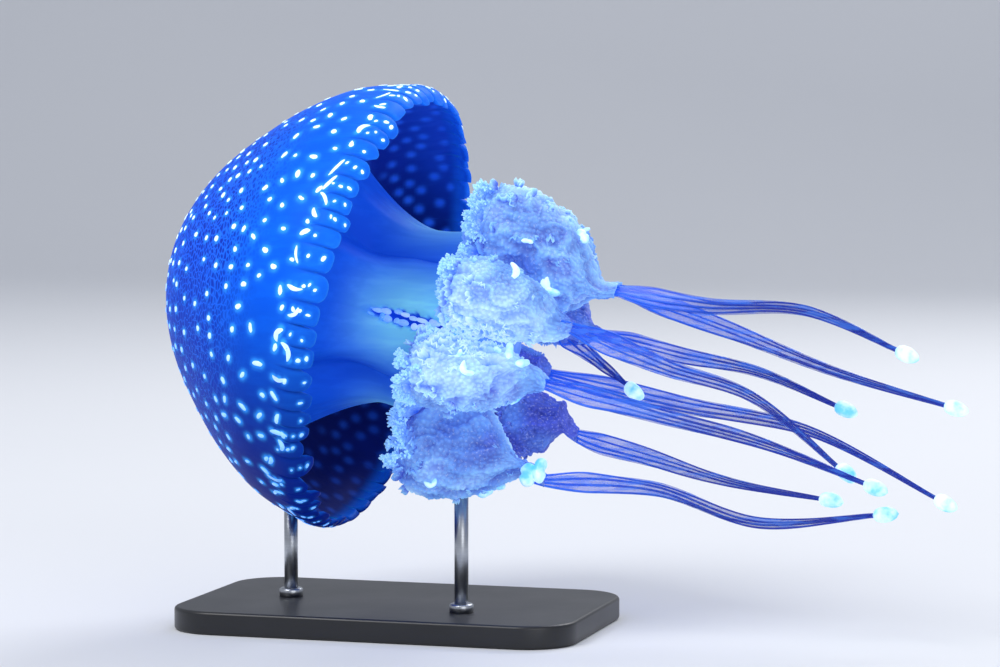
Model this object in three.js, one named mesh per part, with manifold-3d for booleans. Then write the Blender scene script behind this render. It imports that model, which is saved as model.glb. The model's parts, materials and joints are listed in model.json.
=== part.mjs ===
// A spotted lagoon jellyfish swimming to one side, held by a small display stand.
// Millimetres, +Z up. The origin is the middle of the underside of the stand's base.
//
// The animal is built upright in its own frame: the crown of the bell is the origin, the body's
// axis runs down -Z to the arms, +X is the side that ends uppermost and -Y the side that faces
// front. "Depth" is the distance from the crown along the axis, so depth = -z. One group then
// lays the animal on its side.
import * as THREE from "three";
import { mergeVertices } from "three/addons/utils/BufferGeometryUtils.js";
import Module from "manifold-3d";

const wasm = await Module();
wasm.setup();

const GAP = 0.3; // between pieces that touch
const SLOPED_GAP = 0.4; // along the axis, where the faces slope
const LEAN = 12.5; // degrees that the axis falls from the crown to the arms
const CROWN = { x: -100, z: 158 }; // where the crown of the bell sits, from the origin

// Bell: half of its outline, as shares of its radius and depth, from the crown to the lappet tips.
const BELL_RADIUS = 99;
const BELL_DEPTH = 101.5;
const BELL_OUTLINE = [
  [0, 0],
  [0.17, 0.012],
  [0.33, 0.066],
  [0.5, 0.166],
  [0.655, 0.301],
  [0.806, 0.461],
  [0.929, 0.646],
  [0.986, 0.824],
  [1, 0.904],
  [0.978, 0.962],
  [0.925, 1],
];
const BELL_THICKNESS = { crown: 23, rim: 3.6, tip: 1.6, rimAt: 0.92, fall: 0.8 };
const BELL_SIDES = 56;
const MARGIN_CUT = 0.82; // share of the outline's length where the margin begins

// Warts: low domes on the bell, spread evenly by turning each on from the last.
const WARTS = { count: 60, radius: 2.9, height: 1.3, sides: 5, from: 0.06, to: 0.78, seed: 5 };
const WARTS_VARY = { crowding: 0.62, stray: 0.12, smallest: 0.8, largest: 1.15 };
const GOLDEN_TURN = Math.PI * (3 - Math.sqrt(5));

// Margin: eight octants, each with its lappets.
const OCTANTS = 8;
const LAPPETS_IN_OCTANT = 7;
const COLUMNS_IN_LAPPET = 3;
const LAPPET_NOTCH = 0.066; // how far a notch is cut back, as a share of the outline
const LAPPET_GROOVE = { outside: 1.1, inside: 0.3 }; // depth, and the share of it inside
const MARGIN_ROWS = [0, 0.4, 0.66, 0.86, 1];

// Column: the four pillars and the oral disc, then the trunks of the eight arms, as [depth, radius].
const COLUMN_OUTLINE = [
  [50, 80],
  [60, 68],
  [70, 59],
  [82, 50.5],
  [94, 44],
  [106, 40.5],
  [118, 41.5],
  [130, 44],
  [142, 46],
];
const COLUMN_INSIDE_BELL = [
  [12, 18],
  [36, 64],
];
const COLUMN_SIDES = 32;
const TWIST = 5; // degrees from +X to the middle of the first pillar
const ARM_SPAN = 45; // degrees
const ARM_GROOVE = { from: 72, to: 136, share: 0.17, sharp: 0.6 }; // the furrow between two arms
const DISC = { from: 92, to: 106 };
// Between two pillars the column is hollowed. The share is of its radius, the half width in degrees.
const WINDOW = { from: 56, deepest: 80, upTo: 90, to: 114, share: 0.2, half: 21 };
const SLOT = { from: 100, to: 138, halfWidth: 4.3, floor: 20, reach: 66 };
const ROOM = { top: 20, bottom: 420, reach: 130 }; // larger than the whole animal

// Arms, in order round the axis from +X towards +Y. Each has the depths where its frills start
// and end, the reach of the frills from the axis and the radius at their end, then the place of
// its club as depth, height (+X) and distance back (+Y), and how far its tail bows upward a third
// and two thirds of the way along.
const ARMS = [
  { start: 133, end: 193, reach: 67, tip: 35, club: [340, 16, 20], bow: [-1, -2] },
  { start: 131, end: 186, reach: 65, tip: 29, club: [294, 4, 25], bow: [2, 4] },
  { start: 126, end: 169, reach: 62, tip: 28, club: [346, -22, 12], bow: [4, 11] },
  { start: 123, end: 190, reach: 62, tip: 36, club: [298, -35, 14], bow: [-1, -3] },
  { start: 122, end: 189, reach: 79, tip: 57, club: [325, -33, -6], bow: [1, -8] },
  { start: 124, end: 182, reach: 66, tip: 32, club: [320, -19, -18], bow: [2, 3] },
  { start: 133, end: 188, reach: 67, tip: 34, club: [306, -16, -10], bow: [3, 10] },
  { start: 132, end: 198, reach: 73, tip: 35, club: [319, 37, -8], bow: [2, 8] },
];
const TAIL_SWAY = 4; // sideways, to one side and back
// One more club hangs on a short tail from inside the tip of the second arm's frills.
const SHORT_TAIL = { arm: 1, root: [166, 7, 28], club: [205, -8, 15] };

// Frills: each mass is one ruffled skin. Its reach is given in shares, its inner edge and half
// width in millimetres, at even steps from the arm to the tail.
const FRILL_REACH = [0.86, 0.98, 1, 0.96, 0.88, 0.77, 0.5];
const FRILL_INNER = [9, 9, 11, 14, 18, 22, 0];
const FRILL_WIDTH = [16, 19, 20, 19, 16, 11, 4];
const FRILL_ROOT = { outer: 46, inner: 12, width: 12 }; // where it meets its arm
const FRILL_TAPERS_FROM = 0.8; // share of the length
const FRILL_RINGS = 12;
const FRILL_SIDES = 20;
// Depth of the lobes and how they vary. They fade towards the axis and at the tip.
const RUFFLE = { deep: 5, uneven: 0.6, slip: 2.6, turnedIn: -0.6, turnedOut: 0.3, calm: 0.25, seed: 11 };
const LIP = 6; // how far the first lobes stand out over the arm, towards the bell

// Tails and clubs.
const TAIL_SIDES = 7;
const TAIL_STEPS = 5; // in each of the two lengths of a tail
const TAIL_ROOT = { height: 4.4, breadth: 3.6 };
const TAIL_END = { height: 1.5, breadth: 1.4 };
const TAIL_TAPER = 0.7;
const CLUB = { length: 10, radius: 3.4, rings: [0, 0.25, 0.55, 0.85, 1], blunt: 0.88 };

// Stand.
const BASE = { length: 180, breadth: 112, thickness: 10, corner: 22, bevel: 1.5 };
const ROD_RADIUS = 3;
const ROD_SIDES = 20;
const ROD_TOP = 80; // above the underside of anything that a rod holds
const BELL_ROD = { x: -50, y: 0 };
const ARM_ROD = { x: 36, y: -24 };

const radians = THREE.MathUtils.degToRad;
const lerp = THREE.MathUtils.lerp;
const smooth = THREE.MathUtils.smoothstep;

// ---------- solids ----------

function solid(geometry) {
  const bare = geometry.clone();
  bare.deleteAttribute("normal");
  bare.deleteAttribute("uv");
  const merged = mergeVertices(bare, 1e-4);
  return new wasm.Manifold(
    new wasm.Mesh({
      numProp: 3,
      vertProperties: merged.attributes.position.array,
      triVerts: new Uint32Array(merged.index.array),
    }),
  );
}

// The largest closed surface of a solid, as a geometry.
function geometryOf(body) {
  const largest = body
    .decompose()
    .reduce((best, piece) => (piece.volume() > best.volume() ? piece : best));
  const mesh = largest.getMesh();
  return new THREE.BufferGeometry()
    .setAttribute("position", new THREE.BufferAttribute(mesh.vertProperties, 3))
    .setIndex(new THREE.BufferAttribute(mesh.triVerts, 1));
}

// A solid with a gap's room round it: above all below, where the next piece begins.
function widened(body) {
  const moves = [0, 1, 2, 3, 4, 5].map((turn) => {
    const angle = (turn * Math.PI) / 3;
    return body.translate([GAP * Math.cos(angle), GAP * Math.sin(angle), -GAP]);
  });
  return join([body, ...moves]);
}

const join = (pieces) => pieces.reduce((all, piece) => all.add(piece));

// A closed skin over rings of equal count. The first and last ring are closed by a fan, or, where
// the ring is the section of a shell (out along one face and back along the other), by a strip.
// On a lobed skin every other corner lies back, and each square is split between those corners.
function loft(rings, { shell = false, lobed = false } = {}) {
  const count = rings[0].length;
  const points = rings.flat();
  const faces = [];
  for (let i = 0; i + 1 < rings.length; i += 1) {
    for (let j = 0; j < count; j += 1) {
      const a = i * count + j;
      const b = i * count + ((j + 1) % count);
      const crossed = lobed && (i + j) % 2 === 0;
      if (crossed) faces.push([a, b, a + count], [b, b + count, a + count]);
      else faces.push([a, b, b + count], [a, b + count, a + count]);
    }
  }
  for (const end of [0, rings.length - 1]) {
    const turned = end === 0;
    const first = end * count;
    const add = (a, b, c) => faces.push(turned ? [a, c, b] : [a, b, c]);
    if (shell) {
      for (let j = 0; j + 1 < count / 2; j += 1) {
        const far = count - 1 - j;
        add(first + j, first + j + 1, first + far - 1);
        add(first + j, first + far - 1, first + far);
      }
    } else {
      const middle = points.length;
      const centre = rings[end].reduce((sum, p) => sum.clone().add(p), new THREE.Vector3());
      points.push(centre.divideScalar(count));
      for (let j = 0; j < count; j += 1) add(middle, first + j, first + ((j + 1) % count));
    }
  }
  return new THREE.BufferGeometry()
    .setFromPoints(points)
    .setIndex(faces.flat());
}

// A point in the animal's frame from its radius, angle round the axis and depth.
function around(radius, angle, depth) {
  return new THREE.Vector3(radius * Math.cos(angle), radius * Math.sin(angle), -depth);
}

// An ellipse at one depth, with its height along +X and its breadth along +Y.
function ellipse({ x, y, depth }, height, breadth, sides, turn = 0) {
  return Array.from({ length: sides }, (_, i) => {
    const angle = (-i / sides) * 2 * Math.PI;
    const p = new THREE.Vector2(height * Math.cos(angle), breadth * Math.sin(angle));
    p.rotateAround(new THREE.Vector2(), turn);
    return new THREE.Vector3(x + p.x, y + p.y, -depth);
  });
}

// The space between two half planes through the axis, less half a gap on each side.
function sector(from, to, { top = ROOM.top, bottom = ROOM.bottom } = {}) {
  const middle = (from + to) / 2;
  const half = (to - from) / 2;
  const apex = GAP / 2 / Math.sin(half);
  const spread = ROOM.reach * Math.tan(half);
  const shape = new THREE.Shape([
    new THREE.Vector2(apex, 0),
    new THREE.Vector2(apex + ROOM.reach, -spread),
    new THREE.Vector2(apex + ROOM.reach, spread),
  ]);
  const geometry = new THREE.ExtrudeGeometry(shape, { depth: bottom + top, bevelEnabled: false });
  geometry.translate(0, 0, -bottom);
  geometry.rotateZ(middle);
  return solid(geometry);
}

function randomSource(seed) {
  let state = seed;
  return () => {
    state = (state * 1664525 + 1013904223) % 4294967296;
    return state / 4294967296;
  };
}

// ---------- bell ----------

const bellCurve = new THREE.SplineCurve(
  BELL_OUTLINE.map(([r, d]) => new THREE.Vector2(r * BELL_RADIUS, d * BELL_DEPTH)),
);

function bellThickness(share) {
  const { crown, rim, tip, rimAt, fall } = BELL_THICKNESS;
  if (share < rimAt) return lerp(crown, rim, Math.pow(share / rimAt, fall));
  return lerp(rim, tip, (share - rimAt) / (1 - rimAt));
}

// Outer and inner point of the bell's section, as radius (x) and depth (y). A groove thins it.
function bellSection(share, groove = 0) {
  const outer = bellCurve.getPointAt(share);
  const along = bellCurve.getTangentAt(share);
  const normal = new THREE.Vector2(along.y, -along.x);
  const thickness = bellThickness(share) - groove * LAPPET_GROOVE.inside;
  const inner = outer.clone().addScaledVector(normal, -thickness);
  if (share === 0) inner.x = 0;
  return { outer: outer.addScaledVector(normal, -groove), inner };
}

function bellDome() {
  const last = MARGIN_CUT - GAP / 2 / bellCurve.getLength();
  const outside = [0, 0.09, 0.18, 0.27, 0.36, 0.45, 0.54, 0.64, last];
  const inside = [last, 0.6, 0.46, 0.32, 0.16, 0];
  const profile = [
    ...outside.map((share) => bellSection(share).outer),
    ...inside.map((share) => bellSection(share).inner),
  ];
  const geometry = new THREE.LatheGeometry(
    profile.map((p) => new THREE.Vector2(Math.max(p.x, 0), -p.y)).reverse(),
    BELL_SIDES,
  );
  geometry.rotateX(Math.PI / 2);
  return solid(geometry);
}

// A wart straddles the surface, and only its outer half shows.
function wart(share, angle, size) {
  const { outer } = bellSection(share);
  const along = bellCurve.getTangentAt(share);
  const geometry = new THREE.SphereGeometry(1, WARTS.sides, 2);
  geometry.scale(WARTS.radius * size, WARTS.height * size, WARTS.radius * size);
  geometry.rotateX(-Math.PI / 2);
  geometry.rotateY(Math.atan2(along.y, along.x));
  geometry.translate(outer.x, 0, -outer.y);
  geometry.rotateZ(angle);
  return solid(geometry);
}

function bellWarts() {
  const random = randomSource(WARTS.seed);
  return Array.from({ length: WARTS.count }, (_, i) => {
    const place = Math.pow((i + 0.5) / WARTS.count, WARTS_VARY.crowding);
    const angle = i * GOLDEN_TURN + (random() - 0.5) * WARTS_VARY.stray;
    const size = lerp(WARTS_VARY.smallest, WARTS_VARY.largest, random());
    return wart(lerp(WARTS.from, WARTS.to, place), angle, size);
  });
}

function bellMargin(octant) {
  const first = MARGIN_CUT + GAP / 2 / bellCurve.getLength();
  const columns = LAPPETS_IN_OCTANT * COLUMNS_IN_LAPPET;
  const step = (2 * Math.PI) / OCTANTS / columns;
  const tipRadius = BELL_OUTLINE.at(-1)[0] * BELL_RADIUS;
  const rings = [];
  for (let column = 0; column <= columns; column += 1) {
    const isNotch = column % COLUMNS_IN_LAPPET === 0;
    const trim = { 0: 1, [columns]: -1 }[column] ?? 0;
    const angle = (octant * columns + column) * step + (trim * GAP) / 2 / tipRadius;
    const end = isNotch ? 1 - LAPPET_NOTCH : 1;
    const sections = MARGIN_ROWS.map((row) =>
      bellSection(lerp(first, end, row), isNotch ? LAPPET_GROOVE.outside * smooth(row, 0.2, 1) : 0),
    );
    rings.push([
      ...sections.map((s) => around(s.outer.x, angle, s.outer.y)),
      ...sections.map((s) => around(s.inner.x, angle, s.inner.y)).reverse(),
    ]);
  }
  return loft(rings, { shell: true });
}

// ---------- column and arm trunks ----------

const columnCurve = new THREE.SplineCurve(
  COLUMN_OUTLINE.map(([d, r]) => new THREE.Vector2(d, r)),
);

const pillarMiddle = (quarter) => radians(90 * quarter + TWIST);

// How much the hollow between two pillars takes from the radius, from 0 to 1.
function windowAt(angle, depth) {
  const quarterTurn = Math.PI / 2;
  const turn = THREE.MathUtils.euclideanModulo(angle - pillarMiddle(0), quarterTurn);
  const aside = Math.abs(turn - quarterTurn / 2) / radians(WINDOW.half);
  const along = smooth(depth, WINDOW.from, WINDOW.deepest) - smooth(depth, WINDOW.upTo, WINDOW.to);
  return along * (1 - smooth(aside, 0, 1));
}

function columnRing(depth, radius) {
  const deep = ARM_GROOVE.share * smooth(depth, ARM_GROOVE.from, ARM_GROOVE.to);
  return Array.from({ length: COLUMN_SIDES }, (_, i) => {
    const angle = (-i / COLUMN_SIDES) * 2 * Math.PI;
    const wave = Math.abs(Math.sin(180 / ARM_SPAN * (angle - radians(TWIST))));
    const furrow = 1 - Math.pow(wave, ARM_GROOVE.sharp);
    const taken = deep * furrow + WINDOW.share * windowAt(angle, depth);
    return around(radius * (1 - taken), angle, depth);
  });
}

function column() {
  const rings = COLUMN_INSIDE_BELL.map(([depth, radius]) => columnRing(depth, radius));
  const steps = 9;
  for (let i = 0; i <= steps; i += 1) {
    const p = columnCurve.getPoint(i / steps);
    rings.push(columnRing(p.x, p.y));
  }
  return solid(loft(rings));
}

// The four long slots between the two arms of each pillar.
function slots() {
  const length = (SLOT.to - SLOT.from) / 2;
  const depth = (SLOT.to + SLOT.from) / 2;
  const shape = new THREE.Shape();
  shape.absellipse(0, 0, length, SLOT.halfWidth, 0, 2 * Math.PI);
  const cutters = [0, 1, 2, 3].map((quarter) => {
    const geometry = new THREE.ExtrudeGeometry(shape, {
      depth: SLOT.reach - SLOT.floor,
      bevelEnabled: false,
      curveSegments: 7,
    });
    geometry.rotateY(Math.PI / 2);
    geometry.translate(SLOT.floor, 0, -depth);
    geometry.rotateZ(pillarMiddle(quarter));
    return solid(geometry);
  });
  return join(cutters);
}

// ---------- frills ----------

const armAngle = (index) => radians(ARM_SPAN * (index + 0.5) + TWIST);
const armSector = (index, span) =>
  sector(armAngle(index - 0.5), armAngle(index + 0.5), span);

function shareOf(list, share) {
  const place = share * (list.length - 1);
  const low = Math.min(Math.floor(place), list.length - 2);
  return lerp(list[low], list[low + 1], place - low);
}

// Outline of an arm's frills at a share of their length: middle and half sizes, in millimetres.
function frillSection(arm, share) {
  const end = smooth(share, FRILL_TAPERS_FROM, 1);
  const outer = lerp(arm.reach * shareOf(FRILL_REACH, share), arm.tip, end);
  const inner = lerp(shareOf(FRILL_INNER, share), arm.tip, end);
  return {
    depth: lerp(arm.start, arm.end, share),
    middle: (outer + inner) / 2,
    radial: Math.max((outer - inner) / 2, TAIL_ROOT.height),
    across: shareOf(FRILL_WIDTH, share),
  };
}

// One ring of the skin. Each corner stands out or lies back by turns, so that lobes alternate.
function ruffledRing(arm, row, random) {
  const share = (row - 1) / (FRILL_RINGS - 2);
  const s = frillSection(arm, share);
  const calm = smooth(1 - share, 0, RUFFLE.calm);
  return Array.from({ length: FRILL_SIDES }, (_, i) => {
    const turn = (-i / FRILL_SIDES) * 2 * Math.PI;
    const facing = smooth(Math.cos(turn), RUFFLE.turnedIn, RUFFLE.turnedOut);
    const depth = RUFFLE.deep * lerp(1 - RUFFLE.uneven, 1, random());
    const lobe = (i + row) % 2 === 0 ? 0 : -depth;
    const slip = RUFFLE.slip * (random() - 0.5) - (row === 1 ? LIP * random() : 0);
    return new THREE.Vector3(
      s.middle + (s.radial + lobe * facing * calm) * Math.cos(turn),
      (s.across + lobe * facing * calm) * Math.sin(turn),
      -s.depth - slip * facing * calm,
    );
  });
}

// The frills hang from the end of their arm's trunk and lap a little over its outer side.
function frill(arm, index, armTrunk) {
  const angle = armAngle(index);
  const random = randomSource(RUFFLE.seed + index);
  const root = {
    x: (FRILL_ROOT.outer + FRILL_ROOT.inner) / 2,
    y: 0,
    depth: arm.start,
  };
  const half = (FRILL_ROOT.outer - FRILL_ROOT.inner) / 2;
  const rings = [ellipse(root, half, FRILL_ROOT.width, FRILL_SIDES)];
  for (let row = 1; row < FRILL_RINGS; row += 1) rings.push(ruffledRing(arm, row, random));
  const skin = loft(rings, { lobed: true });
  skin.rotateZ(angle);
  return solid(skin)
    .intersect(armSector(index, { bottom: arm.end }))
    .subtract(widened(armTrunk));
}

// ---------- tails and clubs ----------

// A tail's middle line, from the tip of the frills to the club, in the animal's frame.
function tailLine(arm, index) {
  const root = around(arm.tip, armAngle(index), arm.end + GAP);
  const end = clubPoint(arm.club);
  const sway = index % 2 === 0 ? TAIL_SWAY : -TAIL_SWAY;
  const first = root.clone().lerp(end, 1 / 3).add(new THREE.Vector3(arm.bow[0], sway, 0));
  const second = root.clone().lerp(end, 2 / 3).add(new THREE.Vector3(arm.bow[1], -sway / 2, 0));
  return new THREE.CatmullRomCurve3([root, first, second, end]);
}

const clubPoint = ([depth, x, y]) => new THREE.Vector3(x, y, -depth);

function shortTailLine() {
  const root = clubPoint(SHORT_TAIL.root);
  const end = clubPoint(SHORT_TAIL.club);
  return new THREE.CatmullRomCurve3([root, root.clone().lerp(end, 0.5), end]);
}

function tailLength(line, from, to) {
  const rings = [];
  for (let i = 0; i <= TAIL_STEPS; i += 1) {
    const share = lerp(from, to, i / TAIL_STEPS);
    const taper = Math.pow(share, TAIL_TAPER);
    const height = lerp(TAIL_ROOT.height, TAIL_END.height, taper);
    const breadth = lerp(TAIL_ROOT.breadth, TAIL_END.breadth, taper);
    const p = line.getPoint(share);
    rings.push(ellipse({ x: p.x, y: p.y, depth: -p.z }, height, breadth, TAIL_SIDES));
  }
  return loft(rings);
}

// A blunt drop that carries on the way its tail runs.
function club(line) {
  const end = line.getPoint(1);
  const drift = line.getTangent(1);
  drift.divideScalar(-drift.z);
  const rings = CLUB.rings.map((share) => {
    const p = end.clone().addScaledVector(drift, GAP + share * CLUB.length);
    const swell = Math.sin(Math.PI * Math.min(share, CLUB.blunt));
    const radius = lerp(TAIL_END.height, CLUB.radius, swell);
    return ellipse({ x: p.x, y: p.y, depth: -p.z }, radius, radius, TAIL_SIDES);
  });
  return loft(rings);
}

// ---------- stand ----------

function standBase() {
  const x = BASE.length / 2 - BASE.bevel;
  const y = BASE.breadth / 2 - BASE.bevel;
  const shape = new THREE.Shape();
  for (const [sx, sy, quarter] of [[1, 1, 0], [-1, 1, 1], [-1, -1, 2], [1, -1, 3]]) {
    const start = (quarter * Math.PI) / 2;
    const centre = [sx * (x - BASE.corner), sy * (y - BASE.corner)];
    shape.absarc(...centre, BASE.corner, start, start + Math.PI / 2);
  }
  const geometry = new THREE.ExtrudeGeometry(shape, {
    depth: BASE.thickness - 2 * BASE.bevel,
    bevelThickness: BASE.bevel,
    bevelSize: BASE.bevel,
    bevelSegments: 1,
    curveSegments: 3,
  });
  geometry.translate(0, 0, BASE.bevel);
  return geometry;
}

// A rod from the base up to whatever it would run into, less a gap.
function standRod({ x, y }, body) {
  const bottom = BASE.thickness + GAP;
  const length = ROD_TOP - bottom;
  const geometry = new THREE.CylinderGeometry(ROD_RADIUS, ROD_RADIUS, length, ROD_SIDES);
  geometry.rotateX(Math.PI / 2);
  geometry.translate(x, y, bottom + length / 2);
  return solid(geometry).subtract(body.translate([0, 0, -GAP]));
}

// ---------- assembly ----------

const finishes = {
  bell: { color: 0x2a63e6, roughness: 0.25, metalness: 0 },
  column: { color: 0x3f8cf5, roughness: 0.3, metalness: 0 },
  frills: { color: 0xa9b8f5, roughness: 0.6, metalness: 0 },
  tail: { color: 0x2b4fc8, roughness: 0.25, metalness: 0 },
  club: { color: 0xbfe9ff, roughness: 0.4, metalness: 0 },
  stand: { color: 0x1b1d22, roughness: 0.4, metalness: 0 },
};

function named(name, geometry, finish) {
  const mesh = new THREE.Mesh(geometry, new THREE.MeshStandardMaterial(finishes[finish]));
  mesh.name = name;
  return mesh;
}

const animal = new THREE.Group();
animal.rotation.y = -radians(90 - LEAN);
animal.position.set(CROWN.x, 0, CROWN.z);
animal.updateMatrixWorld(true);
const placed = (body) => body.transform(animal.matrixWorld.toArray());

const bell = bellDome();
animal.add(named("bell", geometryOf(join([bell, ...bellWarts()])), "bell"));
for (let octant = 0; octant < OCTANTS; octant += 1) {
  animal.add(named(`margin_${octant + 1}`, bellMargin(octant), "bell"));
}

const trunk = column().subtract(slots());
const trunkBelow = trunk.subtract(bell.translate([0, 0, -SLOPED_GAP]));
for (let quarter = 0; quarter < 4; quarter += 1) {
  const room = sector(pillarMiddle(quarter - 0.5), pillarMiddle(quarter + 0.5), {
    bottom: DISC.from - GAP / 2,
  });
  animal.add(named(`pillar_${quarter + 1}`, geometryOf(trunkBelow.intersect(room)), "column"));
}
const discRoom = new THREE.CylinderGeometry(ROOM.reach, ROOM.reach, DISC.to - DISC.from - GAP, 8);
discRoom.rotateX(Math.PI / 2);
discRoom.translate(0, 0, -(DISC.from + DISC.to) / 2);
animal.add(named("oral_disc", geometryOf(trunk.intersect(solid(discRoom))), "column"));

const armTrunks = ARMS.map((arm, index) =>
  trunk.intersect(armSector(index, { top: -(DISC.to + GAP / 2), bottom: arm.start })),
);
const frills = ARMS.map((arm, index) => frill(arm, index, armTrunks[index]));
ARMS.forEach((arm, index) => {
  const number = index + 1;
  const line = tailLine(arm, index);
  const cut = GAP / 2 / line.getLength();
  animal.add(named(`arm_${number}`, geometryOf(armTrunks[index]), "column"));
  animal.add(named(`frill_${number}`, geometryOf(frills[index]), "frills"));
  animal.add(named(`tail_${number}_upper`, tailLength(line, 0, 0.5 - cut), "tail"));
  animal.add(named(`tail_${number}_lower`, tailLength(line, 0.5 + cut, 1), "tail"));
  animal.add(named(`club_${number}`, club(line), "club"));
});

const shortTail = shortTailLine();
const shortTailBody = solid(tailLength(shortTail, 0, 1));
const holder = frills[SHORT_TAIL.arm];
const freeTail = shortTailBody.subtract(holder.add(holder.translate([0, 0, -GAP])));
animal.add(named("tail_short", geometryOf(freeTail), "tail"));
animal.add(named("club_short", club(shortTail), "club"));

const stand = new THREE.Group();
stand.add(named("stand_base", standBase(), "stand"));
const bellRod = standRod(BELL_ROD, placed(bell));
const armRod = standRod(ARM_ROD, placed(frills[4]));
stand.add(named("stand_rod_bell", geometryOf(bellRod), "stand"));
stand.add(named("stand_rod_arms", geometryOf(armRod), "stand"));

const jellyfish = new THREE.Group();
jellyfish.add(animal, stand);

export default jellyfish;
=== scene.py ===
"""Finish of a spotted lagoon jellyfish that is held, swimming, by a small display stand.

Everything is in metres. The animal is worked out in a frame of its own, with depth running from
the crown of the bell down its axis to the arms, up towards the side that ends uppermost and back
away from the front, and placed() lays it on its side.
"""

import json
import math

import bpy
import numpy as np
from bpy.props import FloatProperty, FloatVectorProperty, IntProperty, PointerProperty
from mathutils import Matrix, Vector
from mathutils.bvhtree import BVHTree
from mathutils.kdtree import KDTree

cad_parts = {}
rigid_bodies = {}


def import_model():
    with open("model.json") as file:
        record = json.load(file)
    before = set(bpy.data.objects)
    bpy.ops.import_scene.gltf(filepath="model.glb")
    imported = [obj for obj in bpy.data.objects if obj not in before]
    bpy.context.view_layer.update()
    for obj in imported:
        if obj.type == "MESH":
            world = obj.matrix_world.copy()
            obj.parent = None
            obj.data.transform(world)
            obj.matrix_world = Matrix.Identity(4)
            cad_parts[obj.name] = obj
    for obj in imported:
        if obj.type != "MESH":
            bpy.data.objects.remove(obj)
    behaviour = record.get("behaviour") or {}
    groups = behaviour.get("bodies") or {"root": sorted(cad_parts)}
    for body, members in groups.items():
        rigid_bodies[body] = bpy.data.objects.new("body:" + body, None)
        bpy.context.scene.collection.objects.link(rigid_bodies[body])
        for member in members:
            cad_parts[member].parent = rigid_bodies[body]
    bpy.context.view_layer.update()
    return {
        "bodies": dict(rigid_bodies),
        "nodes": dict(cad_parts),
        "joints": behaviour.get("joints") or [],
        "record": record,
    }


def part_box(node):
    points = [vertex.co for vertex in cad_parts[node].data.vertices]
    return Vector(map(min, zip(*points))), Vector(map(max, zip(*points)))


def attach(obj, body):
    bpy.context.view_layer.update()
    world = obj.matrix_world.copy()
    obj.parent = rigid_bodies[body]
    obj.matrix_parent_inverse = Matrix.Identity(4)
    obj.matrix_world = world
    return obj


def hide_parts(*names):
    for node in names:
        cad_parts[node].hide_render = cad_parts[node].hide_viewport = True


bl_info = {
    "name": "Spotted Jellyfish",
    "version": (1, 0, 0),
    "blender": (4, 5, 0),
    "location": "View3D > Sidebar > Jellyfish",
    "description": "Skin, spots, frills, tails and stand of a life-size spotted jellyfish",
    "category": "Add Mesh",
}

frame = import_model()
TURN = 2 * math.pi
QUARTER = math.pi / 2

OCTANTS = range(1, 9)
MARGIN_NODES = [f"margin_{i}" for i in OCTANTS]
TRUNK_NODES = ["oral_disc", *(f"pillar_{i}" for i in range(1, 5)), *(f"arm_{i}" for i in OCTANTS)]

# Starts of the seeded draws that no setting changes.
SEEDS = {"lappets": 3, "lobes": 5, "tails": 70, "clubs": 300}

# Where the animal lies: how far its axis falls from the crown to the arms, and the crown's place.
LEAN = math.radians(12.5)
CROWN = np.array([-0.100, 0, 0.158])

# Bell: half of its outline as shares of depth and radius, from the crown to the lappet tips.
BELL_RADIUS = max(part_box(node)[1].y for node in MARGIN_NODES)
BELL_DEPTH = 0.1015
BELL_OUTLINE = [
    (0, 0),
    (0.012, 0.17),
    (0.066, 0.33),
    (0.166, 0.5),
    (0.301, 0.655),
    (0.461, 0.806),
    (0.646, 0.929),
    (0.824, 0.986),
    (0.904, 1),
    (0.962, 0.978),
    (1, 0.925),
]
WALL = {"crown": 0.023, "rim": 0.0036, "tip": 0.0016, "rim_at": 0.92, "fall": 0.8}
LAPPETS = 64
MARGIN_AT = 0.82  # share of the outline where the margin begins

# Column: depth and radius, from inside the bell to the arms' ends, then its hollows.
FOLD = [(0.0574, 0.0760), (0.0570, 0.0732), (0.0588, 0.0698)]
COLUMN_OUTLINE = [
    (0.063, 0.0652),
    (0.070, 0.0590),
    (0.082, 0.0505),
    (0.094, 0.0440),
    (0.106, 0.0405),
    (0.118, 0.0415),
    (0.130, 0.0440),
    (0.140, 0.0430),
    (0.150, 0.0330),
    (0.156, 0.0150),
]
TWIST = math.radians(5)
WINDOW = {"from": 0.056, "deepest": 0.080, "up_to": 0.090, "to": 0.114, "share": 0.2}
WINDOW_HALF = math.radians(21)
SLOT = {"from": 0.100, "to": 0.139, "half": 0.0038, "deep": 0.0060}

# Arms, round the axis from above towards the back: depths where the frills start and end, their
# reach and the radius at their end, then the place of the club as depth, up and back, and how far
# the tail bows upward a third and two thirds of the way along.
ARMS = [
    (0.133, 0.193, 0.067, 0.035, (0.340, 0.016, 0.020), (-0.001, -0.002)),
    (0.131, 0.186, 0.065, 0.029, (0.294, 0.004, 0.025), (0.002, 0.004)),
    (0.126, 0.169, 0.062, 0.028, (0.346, -0.022, 0.012), (0.004, 0.011)),
    (0.123, 0.190, 0.062, 0.036, (0.298, -0.035, 0.014), (-0.001, -0.003)),
    (0.122, 0.189, 0.079, 0.057, (0.325, -0.033, -0.006), (0.001, -0.008)),
    (0.124, 0.182, 0.066, 0.032, (0.320, -0.019, -0.018), (0.002, 0.003)),
    (0.133, 0.188, 0.067, 0.034, (0.306, -0.016, -0.010), (0.003, 0.010)),
    (0.132, 0.198, 0.073, 0.035, (0.319, 0.037, -0.008), (0.002, 0.008)),
]
ARM_SPAN = math.radians(45)
SHORT_TAIL = {"root": (0.166, 0.007, 0.028), "club": (0.205, -0.008, 0.015)}
TAIL_SWAY = 0.004

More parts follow.
